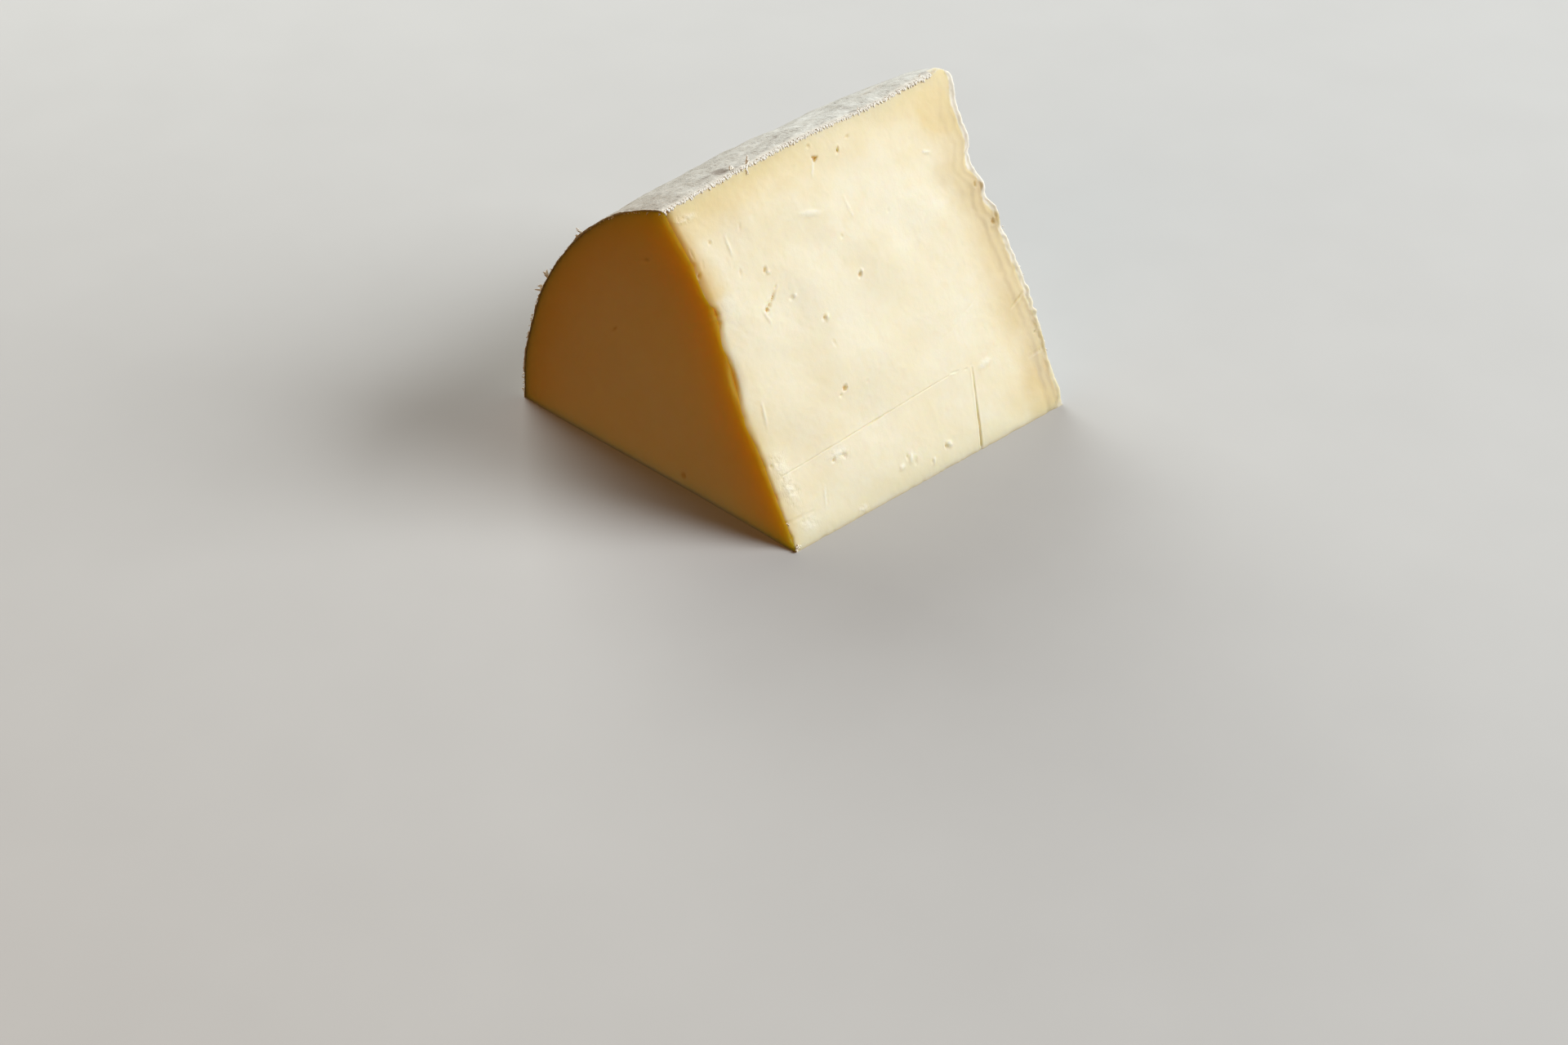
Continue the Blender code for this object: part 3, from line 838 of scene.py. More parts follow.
# Lumps of the broken far edge: distance from the axis edge, half width, and how proud; a
# negative one is a dent.
CRUST_LUMPS = (
    (88, 3.2, 0.3), (83, 3, 0.15), (74.5, 2.2, 0.35), (71.6, 1.2, -0.35),
    (66.5, 2.4, 0.25), (60.5, 2, 0.15), (55, 3.2, 0.4), (50.3, 2, -0.6),
    (45.5, 1.8, 0.2), (42.5, 1.2, 0.35), (36, 4, 0.25), (32.1, 1, 0.45),
    (28.7, 0.8, 0.4), (26, 0.7, 0.35), (20.5, 3, 0.2), (13, 3.5, -0.35),
    (6, 3, 0.2),
)


def crust_swell(r):
    """How much the broken far edge swells at r, in millimetres: bells and uneven noise."""
    swell = 0.22 * layered_noise(r, 0.0, 2.6, 121, 4) + 0.10 * layered_noise(r, 0.0, 1.1, 125, 1)
    return swell + bells_along(r, CRUST_LUMPS)


def thinned(path, to_cut):
    """Share of the rind's thickness that is left beside the cross cut and the upper cut."""
    share = THIN_SHARE + (1 - THIN_SHARE) * ease(path / THIN_REACH)
    return share * (CUT_THIN_SHARE + (1 - CUT_THIN_SHARE) * ease(to_cut / CUT_THIN_REACH))


to_cut = (WEDGE_ANGLE - phi) * rho * DRUM_RADIUS
at_edge = bell_of(to_cut, CRUST_REACH)
thin = thinned(s * END_X, to_cut)
corner = bell_of(to_cut, 3.0) * ease((s * END_X - CORNER_START) / 3.5)
swell = crust_swell(rho * DRUM_RADIUS)
end_inset = PASTE_INSET * (1 - at_edge) - 0.8 * swell * at_edge
inset = PASTE_INSET * thin - CORNER_BUMP * corner
x, r, end, outer = wedge_place(s, rho, phi, inset, 0.0, end_inset)
from_cross = np.maximum(x - cross_cut_x(r, phi), 0.0)
from_upper = np.where(on_upper, 0.0, np.maximum(r * np.sin(WEDGE_ANGLE - phi), 0.0))
print("paste ends at x", x.max().round(1), "mm")

# %% Faces of the two cuts
FACE_RELIEF = 0.3
FACE_CELL = 11
# Small holes in the cross cut: (y, z), half width and depth.
CROSS_HOLES = (
    ((51.9, 57.1), 0.7, 0.5),
    ((60.8, 34.8), 0.5, 0.3),
    ((73.5, 20.4), 0.5, 0.3),
    ((37.2, 3.5), 1, 0.7),
)

height, hole, milk, warm, crumbly = upper_cut_marks(x, r)
inside = ease(s * 12) * ease((1 - s) * 12) * ease(rho * 12) * ease((1 - rho) * 12)
relief = FACE_RELIEF * lattice_noise(x / FACE_CELL + 3, r / FACE_CELL, 12, SOLID_SPAN)
height = height + relief * inside
height = np.where(on_upper, height * ease(r / 1.5), 0.0)

y_cross, z_cross = r * np.cos(phi), r * np.sin(phi)
dent = -0.05 * layered_noise(y_cross, z_cross, 3.0, 61)
dent = dent - 0.03 * lattice_noise(y_cross / 1.4, z_cross / 8.0, 65)
# Painted shade in the cross cut's holes, carried by the same hole share.
cross_hole = np.zeros_like(x)
for middle, half, depth in CROSS_HOLES:
    bell = bell_of(oval_distance(y_cross, z_cross, middle, half, half))
    dent = dent + depth * bell
    cross_hole = np.maximum(cross_hole, bell)
dent = np.where(on_cross, dent * ease(z_cross / 1.0), 0.0)
print("cross cut dents reach", dent.max().round(2), "mm")

# %% Edge between the cuts
EDGE_RADIUS_SHARE = 0.3
# Along the edge between the two cuts: distance from the axis edge, radius of the worn
# edge, reach and strength of the painted gold glow on the upper cut, and reach of the
# painted orange glow there.
EDGE_TABLE = (
    (0, 15, 30, 42, 54, 64, 90),
    (0.8, 1.2, 1.9, 1.9, 1.9, 2, 2.3),
    (4, 3.8, 4.6, 1.6, 2, 5.8, 6.6),
    (0.85, 0.75, 0.9, 0.35, 0.5, 1, 1),
    (0.8, 1, 1.2, 0.9, 1.1, 2.2, 2.6),
)
# Chips out of the edge between the two cuts: distance from the axis edge, half width, depth.
EDGE_CHIPS = (
    (59.6, 1.6, 1), (56.8, 0.9, 0.5), (34.5, 1, 0.45), (7.3, 0.5, 0.45),
    (3.8, 0.8, 0.6), (22, 1.6, 0.3), (71.5, 1.2, 0.35), (14, 1.2, 0.3),
)
# Broad waves of that edge, told the same way; a negative one swells out.
EDGE_WAVES = (
    (65.5, 6, -1.3), (43.5, 5, 0.9), (52, 3, -0.8), (33, 4.5, -0.8),
)

edge_radius, glow_reach, glow_strength, orange_glow_reach = read_table(r, EDGE_TABLE)
edge_radius = np.minimum(edge_radius, EDGE_RADIUS_SHARE * r)
back, down = round_corner(from_cross, from_upper, edge_radius)
chip_reach = np.clip(0.2 * r, 0.2, 1.6)
near_edge = bell_of(from_cross + from_upper, chip_reach, 1.5)
jagged = 1 + 0.5 * layered_noise(r, 0.0, 0.5, 73, 1)
chipped = 0.10 * np.abs(layered_noise(r, 0.0, 3.0, 71)) + 0.05
chipped = chipped + bells_along(r, EDGE_CHIPS) * jagged + bells_along(r, EDGE_WAVES)
chipped = chipped * near_edge * ease(r / 2.0)
apex = np.exp(-r / 0.7) * (0.04 + 0.16 * np.abs(layered_noise(x, 0.0, 2.2, 75)))
print("chips of the edge reach", chipped.max().round(2), "mm")

# %% Crust of the far edge
CRUST_EDGE_RADIUS = 0.8

end_back, end_down = round_corner(end - x, from_upper, CRUST_EDGE_RADIUS)
under_end = end - x
crust_width = 1.5 + 0.7 * swell + 0.30 * layered_noise(r, x, 1.6, 82, 2)
crust = 1 - ease((under_end - crust_width) / 0.6)
bulge = (0.26 + 0.45 * swell) * bell_of(under_end - 0.6, 0.8) * ease(r / 3.0)
fine = 0.11 * layered_noise(r, under_end, 1.1, 84) * crust
height = height + np.where(on_upper, bulge + fine, 0.0)
points = on_wedge(x + back - end_back + dent + chipped * 0.8, r, phi)
sunk = np.maximum(chipped, 0.0) * 0.7
points = points + (height - down - end_down - sunk)[:, None] * FACE_NORMAL
points[:, 1] += apex
points[:, 2] = np.where(k == 0, 0.0, np.maximum(points[:, 2], 0.0))
print("paste points are all numbers:", bool(np.isfinite(points).all()))

# %% [markdown]
# The paste's colour changes with its place: tan lines dry out under the far end, and
# warmth creeps in from the rind. Painted light is laid in too: gold and orange glow
# beside the edge between the cuts, where light shines through the thin paste; painted
# shade in that edge's chips and where it rounds away from the light; and painted warm
# bounce light on the shaded cross cut. Each is a share from 0 to 1 that the mesh
# carries at its points, worked out from how far a point lies from the end, the rind
# and the edge. A painted picture could hold them too, but it would blur where it is
# stretched.

# %% Tan beside the far end
# Beside the far end: distance from the axis edge, reach and strength of the warmth,
# strength of the tan, and how white the crust is.
FAR_TABLE = (
    (0, 20, 40, 60, 75, 88),
    (17, 14, 12, 10.5, 11, 13),
    (1, 0.95, 0.8, 0.8, 0.95, 1),
    (1.35, 1.25, 1.25, 1.25, 0.9, 0.35),
    (0.3, 0.35, 0.75, 1, 1, 1),
)
# Tan at each depth under the broken end: two darker lines in a warm band.
TAN_TABLE = (
    (0, 1.4, 2, 2.6, 3.2, 4, 4.7, 5.2, 6, 9, 14),
    (0, 0, 0.8, 0.72, 0.42, 0.42, 0.75, 0.72, 0.32, 0.25, 0),
)
# Brown bruise where the crust broke: distance from the axis edge, depth, half widths.
BRUISE = ((50.4, 1.9), 2.3, 1.9)

ragged = layered_noise(r, 0.0, 6.0, 78)
patchy = clamp(0.45 + 0.8 * layered_noise(r, 0.0, 5.0, 86, 2))
far_reach, far_warmth, far_tan, far_white = read_table(r, FAR_TABLE)
far = bell_of(under_end, far_reach, 3)
streaks = 0.75 + 0.35 * lattice_noise(under_end / 1.3, r / 8.0, 79)
far = far * clamp(0.95 + 0.25 * layered_noise(x, r, 5.0, 88, 2))
wavering = under_end - 0.7 * swell - 0.9 * ragged - 0.25 * lattice_noise(r / 1.1, x / 3.0, 92)
tan = read_table(wavering, TAN_TABLE)[0] * far_tan * streaks * (0.75 + 0.5 * patchy)
bruise = oval_distance(r, under_end, *BRUISE)
bruise = bell_of(bruise, 1, 3) * (1 + 0.25 * layered_noise(r, x, 1.1, 93, 2))
tan = np.maximum(tan, 1.3 * bruise)
low_streaks = clamp(lattice_noise(under_end / 0.8 + r / 9.0, r / 7.0, 91) * 2.0)
low_band = bell_of(under_end - 4.0, 2.6, 4) * ease((14 - r) / 3) * ease(r / 1.5)
print("places with clear tan:", int((on_upper & (tan > 0.3)).sum()))

# %% Warmth, and painted glow and shade
# Beside the rind: place along the axis, reach and strength of the warmth.
RIND_TABLE = (
    (0, 12, 26, 45, 58, 72, 84),
    (9, 10, 8.5, 7, 7, 9, 10),
    (0.95, 1, 0.9, 0.6, 0.55, 0.8, 1),
)

halo = 0.25 * bell_of(outer - r, 0.6) * (0.7 + 0.5 * layered_noise(x, 0.0, 1.2, 80))
milk = np.maximum(milk, halo)
uneven = 1 + 0.25 * layered_noise(r, from_cross, 6.0, 89, 2)
# Painted glow on the upper cut beside the edge between the cuts, where light shines through the
# thin paste.
painted_edge_glow = bell_of(from_cross / glow_reach * uneven, 1, 1.5) * glow_strength
beside_axis = 0.45 * bell_of(r, 4.0) + 0.4 * bell_of(r, 0.5)
mottled = 1 + 0.35 * layered_noise(x, r, 5.0, 90)
rind_reach, rind_warmth = read_table(x, RIND_TABLE)
beside_rind = np.exp(-((outer - r) / rind_reach * mottled)) * rind_warmth
warm = np.maximum(warm, far * far_warmth)
# The warm share takes in the painted edge glow as well as the paste's own yellowing.
warm = np.maximum(np.maximum(warm, painted_edge_glow), np.maximum(beside_axis, beside_rind))
milk = milk * (1 - 0.8 * clamp(painted_edge_glow))
# Painted glow on the shaded cross cut, strongest beside the upper cut, over a slight painted warm
# tint of the whole face.
glow = 0.95 * bell_of(from_upper, 10.0, 1.3)
amber = np.clip(0.12 + glow, 0.0, 0.95)
# Painted orange glow along the edge on the upper cut, painted shade in its chips, and tan streaks
# low beside the far end.
edge_light_and_streaks = 0.75 * bell_of(from_cross, orange_glow_reach, 1.5) * glow_strength
edge_light_and_streaks = np.maximum(edge_light_and_streaks, 0.5 * ease((chipped - 0.2) / 0.6))
edge_light_and_streaks = np.maximum(edge_light_and_streaks, 0.25 * low_streaks * low_band)
# Darker tan towards the edge at the top of the upper cut: painted shade where the rounded edge
# turns from the light, partly a tan tone.
edge_shade_and_tan = 0.65 * bell_of(from_cross, 3.6, 1.6) * ease((r - 60) / 12)
tan = np.maximum(tan, edge_shade_and_tan)
# Painted warm bounce light on the shaded cross cut, stronger towards the rind.
painted_light_and_streaks = 0.12 + 0.85 * np.exp(-(outer - r) / 14.0)
print("places with clear warmth:", int((on_upper & (warm > 0.3)).sum()))

# %% Paste
crust = np.where(on_upper, crust * (0.85 + 0.15 * patchy), 0.0)
crust = crust * far_white * (1 - 0.8 * clamp(bruise))
crust = np.where(i == len(columns) - 1, 0.9, crust)
crust = np.maximum(crust, np.where((j == len(rows) - 1) & (x > CORNER_START), 0.5, 0.0))
deep = 0.40 * (1 - 0.7 * crust) + 0.4 * hole - 0.25 * crumbly
worn_edge = bell_of(from_cross, 1.1 * edge_radius + 0.1, 3)
deep = clamp(deep + (1 - deep) * worn_edge)
paste_values = {
    "tan": np.where(on_upper, np.clip(tan, 0.0, 0.9), 0.0),
    "amber": np.where(on_cross, amber, 0.0),
    "painted_light_and_streaks": np.where(on_cross, painted_light_and_streaks, np.where(on_upper, edge_light_and_streaks, 0.0)),
    "deep": np.where(on_cross, 1.0, np.where(on_upper, deep, 0.4)),
    "crumbly": np.where(on_upper, crumbly, 0.0),
    "warm": np.where(on_upper, warm, 0.0),
    "crust": clamp(crust),
    "under_side": outer - r,
    "under_end": under_end,
    "hole": np.maximum(np.where(on_upper, hole, 0.0), np.where(on_cross, cross_hole, 0.0)),
    "milk": np.where(on_upper, milk, 0.3 * np.clip(layered_noise(r, phi * 60, 15.0, 77), 0, 1)),
}
cut_paste = mesh_piece("cut_paste", points, paste_faces, paste_material, 50, paste_values)
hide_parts("cheese_wedge")

# %% [markdown]
# ## Rind material
# The rind is muslin under years of grey mould. The threads show where the mould is
# thin: a plain weave whose height is the product of two waves that run with the
# mesh's own UV map, so it follows the cloth round the drum. Bloom hides it in
# patches, and brown and tan stains break the grey. Short dark dashes along the
# threads are painted shadows of the weave.

# %% Rind material
RIND_GREY = (0.67, 0.66, 0.585, 1.0)
RIND_PALE = (0.83, 0.825, 0.755, 1.0)
RIND_TAN = (0.50, 0.40, 0.27, 1.0)
RIND_SHADE = (0.42, 0.41, 0.36, 1.0)
RIND_BROWN = (0.20, 0.145, 0.10, 1.0)
CRUST_WHITE = (0.86, 0.81, 0.70, 1.0)
THREAD_PITCH_MM = 0.62
FUZZ_DARK = (0.86, 0.86, 0.86, 1.0)
FUZZ_LIGHT = (1.06, 1.06, 1.06, 1.0)
DASH_ACROSS = 2.8
DASH_ALONG = 0.55


def wave_of(place_mm, pitch_mm):
    """A wave from -1 to 1 that repeats every pitch."""
    return math_of("SINE", times(place_mm, 2 * math.pi / pitch_mm))


def rind_material(name, bloom_low, bloom_high):
    """Mouldy muslin; bloom_low and bloom_high set how much of the weave the mould hides."""
    material, shader, place = new_material(name)
    uv = add_node(shader.id_data, "ShaderNodeUVMap", uv_map="weave").outputs["UV"]
    u, v, _ = add_node(shader.id_data, "ShaderNodeSeparateXYZ", {"Vector": uv}).outputs
    shift = times(noise_of(place, 4, 4.0, 0.6), 2.6)
    along = math_of("ADD", times(u, 100.0), shift)
    round_ = math_of("ADD", times(v, 100.0), shift)
    checker = times(wave_of(along, THREAD_PITCH_MM), wave_of(round_, THREAD_PITCH_MM * 1.15))
    ribs = math_of("ABSOLUTE", wave_of(along, THREAD_PITCH_MM * 2))
    weave = math_of("ADD", checker, times(ribs, 0.5))
    bloom = ramp_of(noise_of(place, 7, 4.0, 0.6, 0.5), bloom_low, bloom_high)
    bare = math_of("MAXIMUM", rest_of(bloom), attribute_of(shader, "worn"))
    fuzz = noise_of(place, 0.7, 3.0, 0.65)
    dash_place = {"X": times(u, DASH_ACROSS), "Y": times(v, DASH_ALONG)}
    dash_place = add_node(shader.id_data, "ShaderNodeCombineXYZ", dash_place).outputs["Vector"]
    fibres = noise_of(dash_place, 10.0, 2.0, 0.55)
    clusters = ramp_of(noise_of(place, 3.4, 3.0, 0.6), 0.36, 0.56)
    # Short dark dashes along the threads: painted shadows of the weave.
    shadow_dashes = times(ramp_of(fibres, 0.53, 0.64), clusters)
    stain = ramp_of(noise_of(place, 11, 4.0, 0.6, 0.8), 0.56, 0.78)
    spots = ramp_of(noise_of(place, 2.3, 3.0, 0.6), 0.68, 0.80)
    colour = blend_of(bloom, RIND_GREY, RIND_PALE)
    for share, tone in (
        (times(stain, 0.45), RIND_TAN),
        (attribute_of(shader, "tanned"), RIND_TAN),
        (times(ramp_of(fibres, 0.62, 0.36), 0.42), RIND_SHADE),
        # Painted thread shadows in the dashes.
        (times(shadow_dashes, times(bare, 0.85)), RIND_BROWN),
        (times(spots, 0.45), RIND_BROWN),
        (attribute_of(shader, "stain"), RIND_BROWN),
        (attribute_of(shader, "section"), CRUST_WHITE),
    ):
        colour = blend_of(share, colour, tone)
    shade = blend_of(ramp_of(fuzz, 0.2, 0.8), FUZZ_DARK, FUZZ_LIGHT)
    broken = ramp_of(noise_of(place, 2.2, 3.0, 0.6), 0.40, 0.66)
    normal = bump_of(noise_of(place, 3, 3.0, 0.6), 0.25)
    normal = bump_of(times(times(weave, bare), broken), 0.03, normal)
    for height, depth_mm in ((fibres, 0.16), (shadow_dashes, -0.10), (fuzz, 0.08)):
        normal = bump_of(height, depth_mm, normal)
    looks = {"Base Color": blend_of(1.0, colour, shade, "MULTIPLY"), "Normal": normal}
    feel = {"Roughness": 0.93, "Specular IOR Level": 0.2}
    fill(shader, looks | feel | {"Sheen Weight": 0.25, "Sheen Roughness": 0.6})
    return material


bandage_material = rind_material("bandage", 0.42, 0.66)
cap_material = rind_material("cap_crust", 0.34, 0.58)

# %% [markdown]
# ## Bandage
# The bandage is wound round the drum and its edge is turned down over the end, where
# it gathers in small pleats. It is a strip carried round the drum: its section runs
# along the side, over the rim and onto the end, and it has a real thickness, because
# its cut edge is in plain view.

# %% Strip of cloth
BANDAGE_THICK = 0.95
CLOTH_SPACING = 0.56


def cloth_relief(x, arc):
    """Height of the cloth in millimetres: noises for lumps, long wrinkles and fine crust."""
    lumps = 0.16 * layered_noise(x, arc, 6.0, 81)
    wrinkles = 0.10 * lattice_noise(x / 2.4, arc / 14.0 + 0.1 * x, 85)
    crust = 0.07 * layered_noise(x, arc, 1.3, 87, 2)
    return lumps + wrinkles + crust


strip_length = END_X + CAP_HEM
strip_turn = WEDGE_ANGLE * DRUM_RADIUS
around = even_lines(strip_turn, CLOTH_SPACING, ((93.0, 2.0, 0.8),))
along = even_lines(strip_length, CLOTH_SPACING, ((0, 1.5, 0.8), (END_X, 3, 0.8)))
layers = np.linspace(0.0, 1.0, 5)
(i, j, k), cloth_faces = block_skin((len(around), len(along), len(layers)))
phi = around[i] * WEDGE_ANGLE
path = along[j] * strip_length
s = clamp(path / END_X)
rho = 1 - np.clip(path - END_X, 0.0, None) / DRUM_RADIUS
arc = phi * DRUM_RADIUS
to_cut = strip_turn - arc
thin = thinned(path, to_cut)
sunk = bell_of(to_cut, 3.0) * ease((path - CORNER_START) / 3.0)
inset = (1 - layers[k]) * BANDAGE_THICK * thin + 0.5 * sunk
x, r, end, outer = wedge_place(s, rho, phi, inset)
relief = cloth_relief(path, arc) * layers[k]
on_end = ease((path - END_X + 1.5) / 3.0)
x = x + relief * on_end
r = r + relief * (1 - on_end)
at_cut = i == len(around) - 1
at_cross = j == 0
proud = (0.06 + 0.10 * layered_noise(path, inset * 3, 0.9, 91, 2)) * (1 - sunk) - 0.6 * sunk
proud_x = 0.14 + 0.12 * layered_noise(arc, inset * 3, 0.9, 93, 2)
points = on_wedge(x - np.where(at_cross, proud_x, 0.0), r, phi)
points = points + np.where(at_cut, proud, 0.0)[:, None] * FACE_NORMAL
points[:, 2] = np.maximum(points[:, 2], 0.0)
print("cloth runs", round(strip_length, 1), "mm along and", round(strip_turn, 1), "mm round")

# %% Bandage
# Stains on the cloth: (x, angle in degrees), half widths, strength.
CLOTH_STAINS = (
    ((20.8, 54.8), 1.7, 1.9, 0.75),
    ((17, 54.6), 1.8, 0.7, 0.45),
    ((24.2, 56.4), 0.9, 0.5, 0.7),
    ((41.9, 53), 0.55, 0.5, 0.85),
    ((41.7, 55.7), 0.7, 0.35, 0.5),
    ((64, 56.6), 1.6, 0.5, 0.6),
    ((61, 56.3), 0.8, 0.5, 0.6),
    ((62.4, 54), 0.7, 1.6, 0.4),
    ((87, 56.2), 2.2, 0.9, 0.45),
    ((5.5, 56.3), 1.2, 0.7, 0.4),
    ((30, 36), 3, 2, 0.35),
    ((72, 24), 4, 3, 0.35),
    ((50, 12), 3.5, 2, 0.3),
)

ragged = 0.5 * layered_noise(path, arc, 1.6, 95)
stain = np.zeros_like(x)
for (stain_x, degrees), half_x, half_arc, strength in CLOTH_STAINS:
    place_arc = math.radians(degrees) * DRUM_RADIUS
    far = oval_distance(path, arc, (stain_x, place_arc), half_x, half_arc)
    stain = np.maximum(stain, strength * ease(1.6 - far + ragged))
worn = np.exp(-to_cut / 2.5) + np.exp(-path / 3.0)
section = np.where(at_cross, 0.5 * layers[k], 0.85 * bell_of(to_cut))
cross_stain = np.where(at_cross, 0.55 * (1 - layers[k]), 0.20 * np.exp(-path / 9))
bandage_values = {
    "worn": clamp(0.9 * worn),
    "tanned": 0.12 * (1 - ease((path - 35.0) / 25.0)) + 0.30 * np.exp(-path / 15.0),
    "section": np.where(at_cut, 0.85 - 0.15 * layers[k], section),
    "stain": np.maximum(stain, cross_stain),
}
weave_uv = np.stack([path, arc], axis=-1) / 100.0
bandage = mesh_piece("bandage", points, cloth_faces, bandage_material, 60, bandage_values, weave_uv)

# %% [markdown]
# ## Cap
# A disc of cloth closes the far end under the bandage's gathered hem. It stops just
# short of the upper cut, where the paste's own broken edge stands out past it.

# %% Cap
CRUST_THICK = 1.4
CAP_EDGE = 0.985
CAP_CLEARANCE = 0.3

rings = even_lines(DRUM_RADIUS * CAP_EDGE, CLOTH_SPACING, ())
fans = even_lines(strip_turn, 0.62, ((93.0, 2.0, 1.0),))
layers = np.linspace(0.0, 1.0, 6)
(i, j, k), cap_faces = block_skin((len(rings), len(fans), len(layers)), 0, 1)
rho = rings[i] * CAP_EDGE
phi = fans[j] * WEDGE_ANGLE
r = rho * (rind_radius(END_X, phi) - 0.3)
y, z = r * np.cos(phi), r * np.sin(phi)
thick = CRUST_THICK + 0.45 * layered_noise(y, z, 5.0, 101)
hem = ease((r - (DRUM_RADIUS - CAP_HEM)) / 2)
top = rind_end_x(r, phi, 0.0) - CAP_CLEARANCE * hem
relief = 0.20 * layered_noise(y, z, 7.0, 103) + 0.07 * layered_noise(y, z, 1.2, 106, 2)
crumble = 0.07 * layered_noise(r, layers[k] * 2.0, 1.1, 109)
x = top + relief * layers[k] * (1 - 0.5 * hem) - (1 - layers[k]) * thick
at_cut = (j == len(fans) - 1) & (i > 0)
rim_fall = ease((rho - 0.955) / 0.03) * 0.9
beside_cut = bell_of((WEDGE_ANGLE - phi) * r, 1.6)
points = on_wedge(x - rim_fall * layers[k] - 0.7 * beside_cut, r, phi)
points = points + np.where(at_cut, crumble - 0.45, 0.0)[:, None] * FACE_NORMAL
points[:, 2] = np.maximum(points[:, 2], 0.0)
tear = bell_of(r - 50.0, 3.0) * np.exp(-((WEDGE_ANGLE - phi) * r / 4.0))
cap_values = {
    "worn": np.zeros_like(x),
    "tanned": np.full_like(x, 0.15),
    "section": np.where(at_cut, 0.85, 0.0) * (1 - 0.7 * tear),
    "stain": clamp(0.7 * tear * (0.6 + layered_noise(y, z, 1.5, 111))),
}
cap = mesh_piece(
    "end_cap", points, cap_faces, cap_material, 60, cap_values, np.stack([y, z], axis=-1) / 100
)

# %% [markdown]
# ## Threads
# Where the knife went through the muslin, its threads fray into short nubs, and a
# few longer ones curl out. Each thread is a thin tube carried along a bent line, and
# all of them are worked out in one array: threads by rings by sides.

# %% Thread material
THREAD_COLOUR = (0.95, 0.91, 0.82, 1.0)
THREAD_DARK = (0.86, 0.79, 0.67, 1.0)

thread_material, shader, place = new_material("muslin_thread")
tone = ramp_of(noise_of(place, 0.8, 2.0), 0.55, 0.78)
looks = {"Base Color": blend_of(tone, THREAD_COLOUR, THREAD_DARK)}
looks |= {"Normal": bump_of(noise_of(place, 0.15), 0.04)}
fill(shader, looks | {"Roughness": 0.9, "Specular IOR Level": 0.2})


# %% Thread tubes
def thread_tubes(starts, heads, bends, lengths, radii, rings=4, sides=5):
    """Points and faces of many bent, tapering tubes.

    A tube's middle line is its start plus head times length times t plus bend times
    length times t squared, and each ring is a circle across the head, thinner
    towards the blunt tip. Both ends are capped.
    """
    heads = heads / np.linalg.norm(heads, axis=-1, keepdims=True)
    side = np.cross(heads, np.array([0.31, 0.52, 0.79]))
    side = side / np.linalg.norm(side, axis=-1, keepdims=True)
    other = np.cross(heads, side)
    t = np.linspace(0.0, 1.0, rings)
    middle = starts[:, None] + (heads * lengths[:, None])[:, None] * t[:, None]
    middle = middle + (bends * lengths[:, None])[:, None] * (t**2)[:, None]
    turn = np.linspace(0.0, 2 * math.pi, sides, endpoint=False)
    thick = radii[:, None] * (1 - 0.1 * t - 0.45 * t**6)
    turn = turn[:, None]
    circle = side[:, None, None] * np.cos(turn) + other[:, None, None] * np.sin(turn)
    tubes = middle[:, :, None] + circle * thick[:, :, None, None]
    count = len(starts)
    numbers = np.arange(count * rings * sides).reshape(count, rings, sides)
    here, above = numbers[:, :-1], numbers[:, 1:]
    quads = np.stack(
        [here, np.roll(here, -1, axis=2), np.roll(above, -1, axis=2), above], axis=-1
    ).reshape(-1, 4)
    faces = quads.tolist() + numbers[:, 0, ::-1].tolist() + numbers[:, -1].tolist()
    return tubes.reshape(-1, 3), faces


# %% Cut teeth
# Teeth along the edge of the upper cut: the knife pressed the cut threads down over the
# paste, a thread's width apart, and between them a second row of stubs stands up.
TOOTH_PITCH = 0.56
FRINGE_END = 87.0

draw = np.random.default_rng(7)
row_x = np.arange(-3.0, FRINGE_END, TOOTH_PITCH)
tooth_x = np.concatenate([row_x, row_x + TOOTH_PITCH / 2])
teeth = len(tooth_x)
standing = np.arange(teeth)[:, None] >= len(row_x)
tooth_x = tooth_x + draw.normal(0, 0.10, teeth)
tooth_depth = draw.uniform(0.05, 0.45, teeth)
tooth_r = rind_radius(tooth_x, WEDGE_ANGLE) - tooth_depth
tooth_starts = on_wedge(tooth_x, tooth_r, WEDGE_ANGLE) - 0.03 * FACE_NORMAL
out = np.array([0.0, math.cos(WEDGE_ANGLE), math.sin(WEDGE_ANGLE)])
lying_heads = FACE_NORMAL * draw.uniform(0.05, 0.28, (teeth, 1)) - out
standing_heads = FACE_NORMAL + out * draw.uniform(-0.9, 0.5, (teeth, 1))
tooth_heads = np.where(standing, standing_heads, lying_heads)
tooth_heads = tooth_heads + AXIS * draw.normal(0.0, 0.25, (teeth, 1))
keep = tooth_x > cross_cut_x(tooth_r, WEDGE_ANGLE) + 0.2
keep = keep & (draw.uniform(0, 1, teeth) > 0.06)
tooth_bends = FACE_NORMAL * draw.uniform(-0.45, -0.05, (teeth, 1))
tooth_bends = tooth_bends + draw.uniform(-0.2, 0.2, (teeth, 3))
tooth_lengths = draw.uniform(0.60, 0.98, teeth) * np.where(standing[:, 0], 0.4, 1.0)
tooth_radii = draw.uniform(0.22, 0.32, teeth)
tooth_rows = (tooth_starts, tooth_heads, tooth_bends, tooth_lengths, tooth_radii)
points, faces = thread_tubes(*(rows[keep] for rows in tooth_rows), 7, 8)
cut_teeth = mesh_piece("cut_teeth", points, faces, thread_material, 80)

# %% Cut fringe
# Nubs round the edge of the cross cut.
ring_nubs = 110
ring_phi = draw.uniform(0.01, WEDGE_ANGLE, ring_nubs)
ring_r = rind_radius(-6.0, ring_phi) - draw.uniform(0.05, 0.3, ring_nubs)
ring_starts = on_wedge(cross_cut_x(ring_r, ring_phi), ring_r, ring_phi)
ring_heads = draw.uniform(-0.7, 0.7, (ring_nubs, 3)) - AXIS

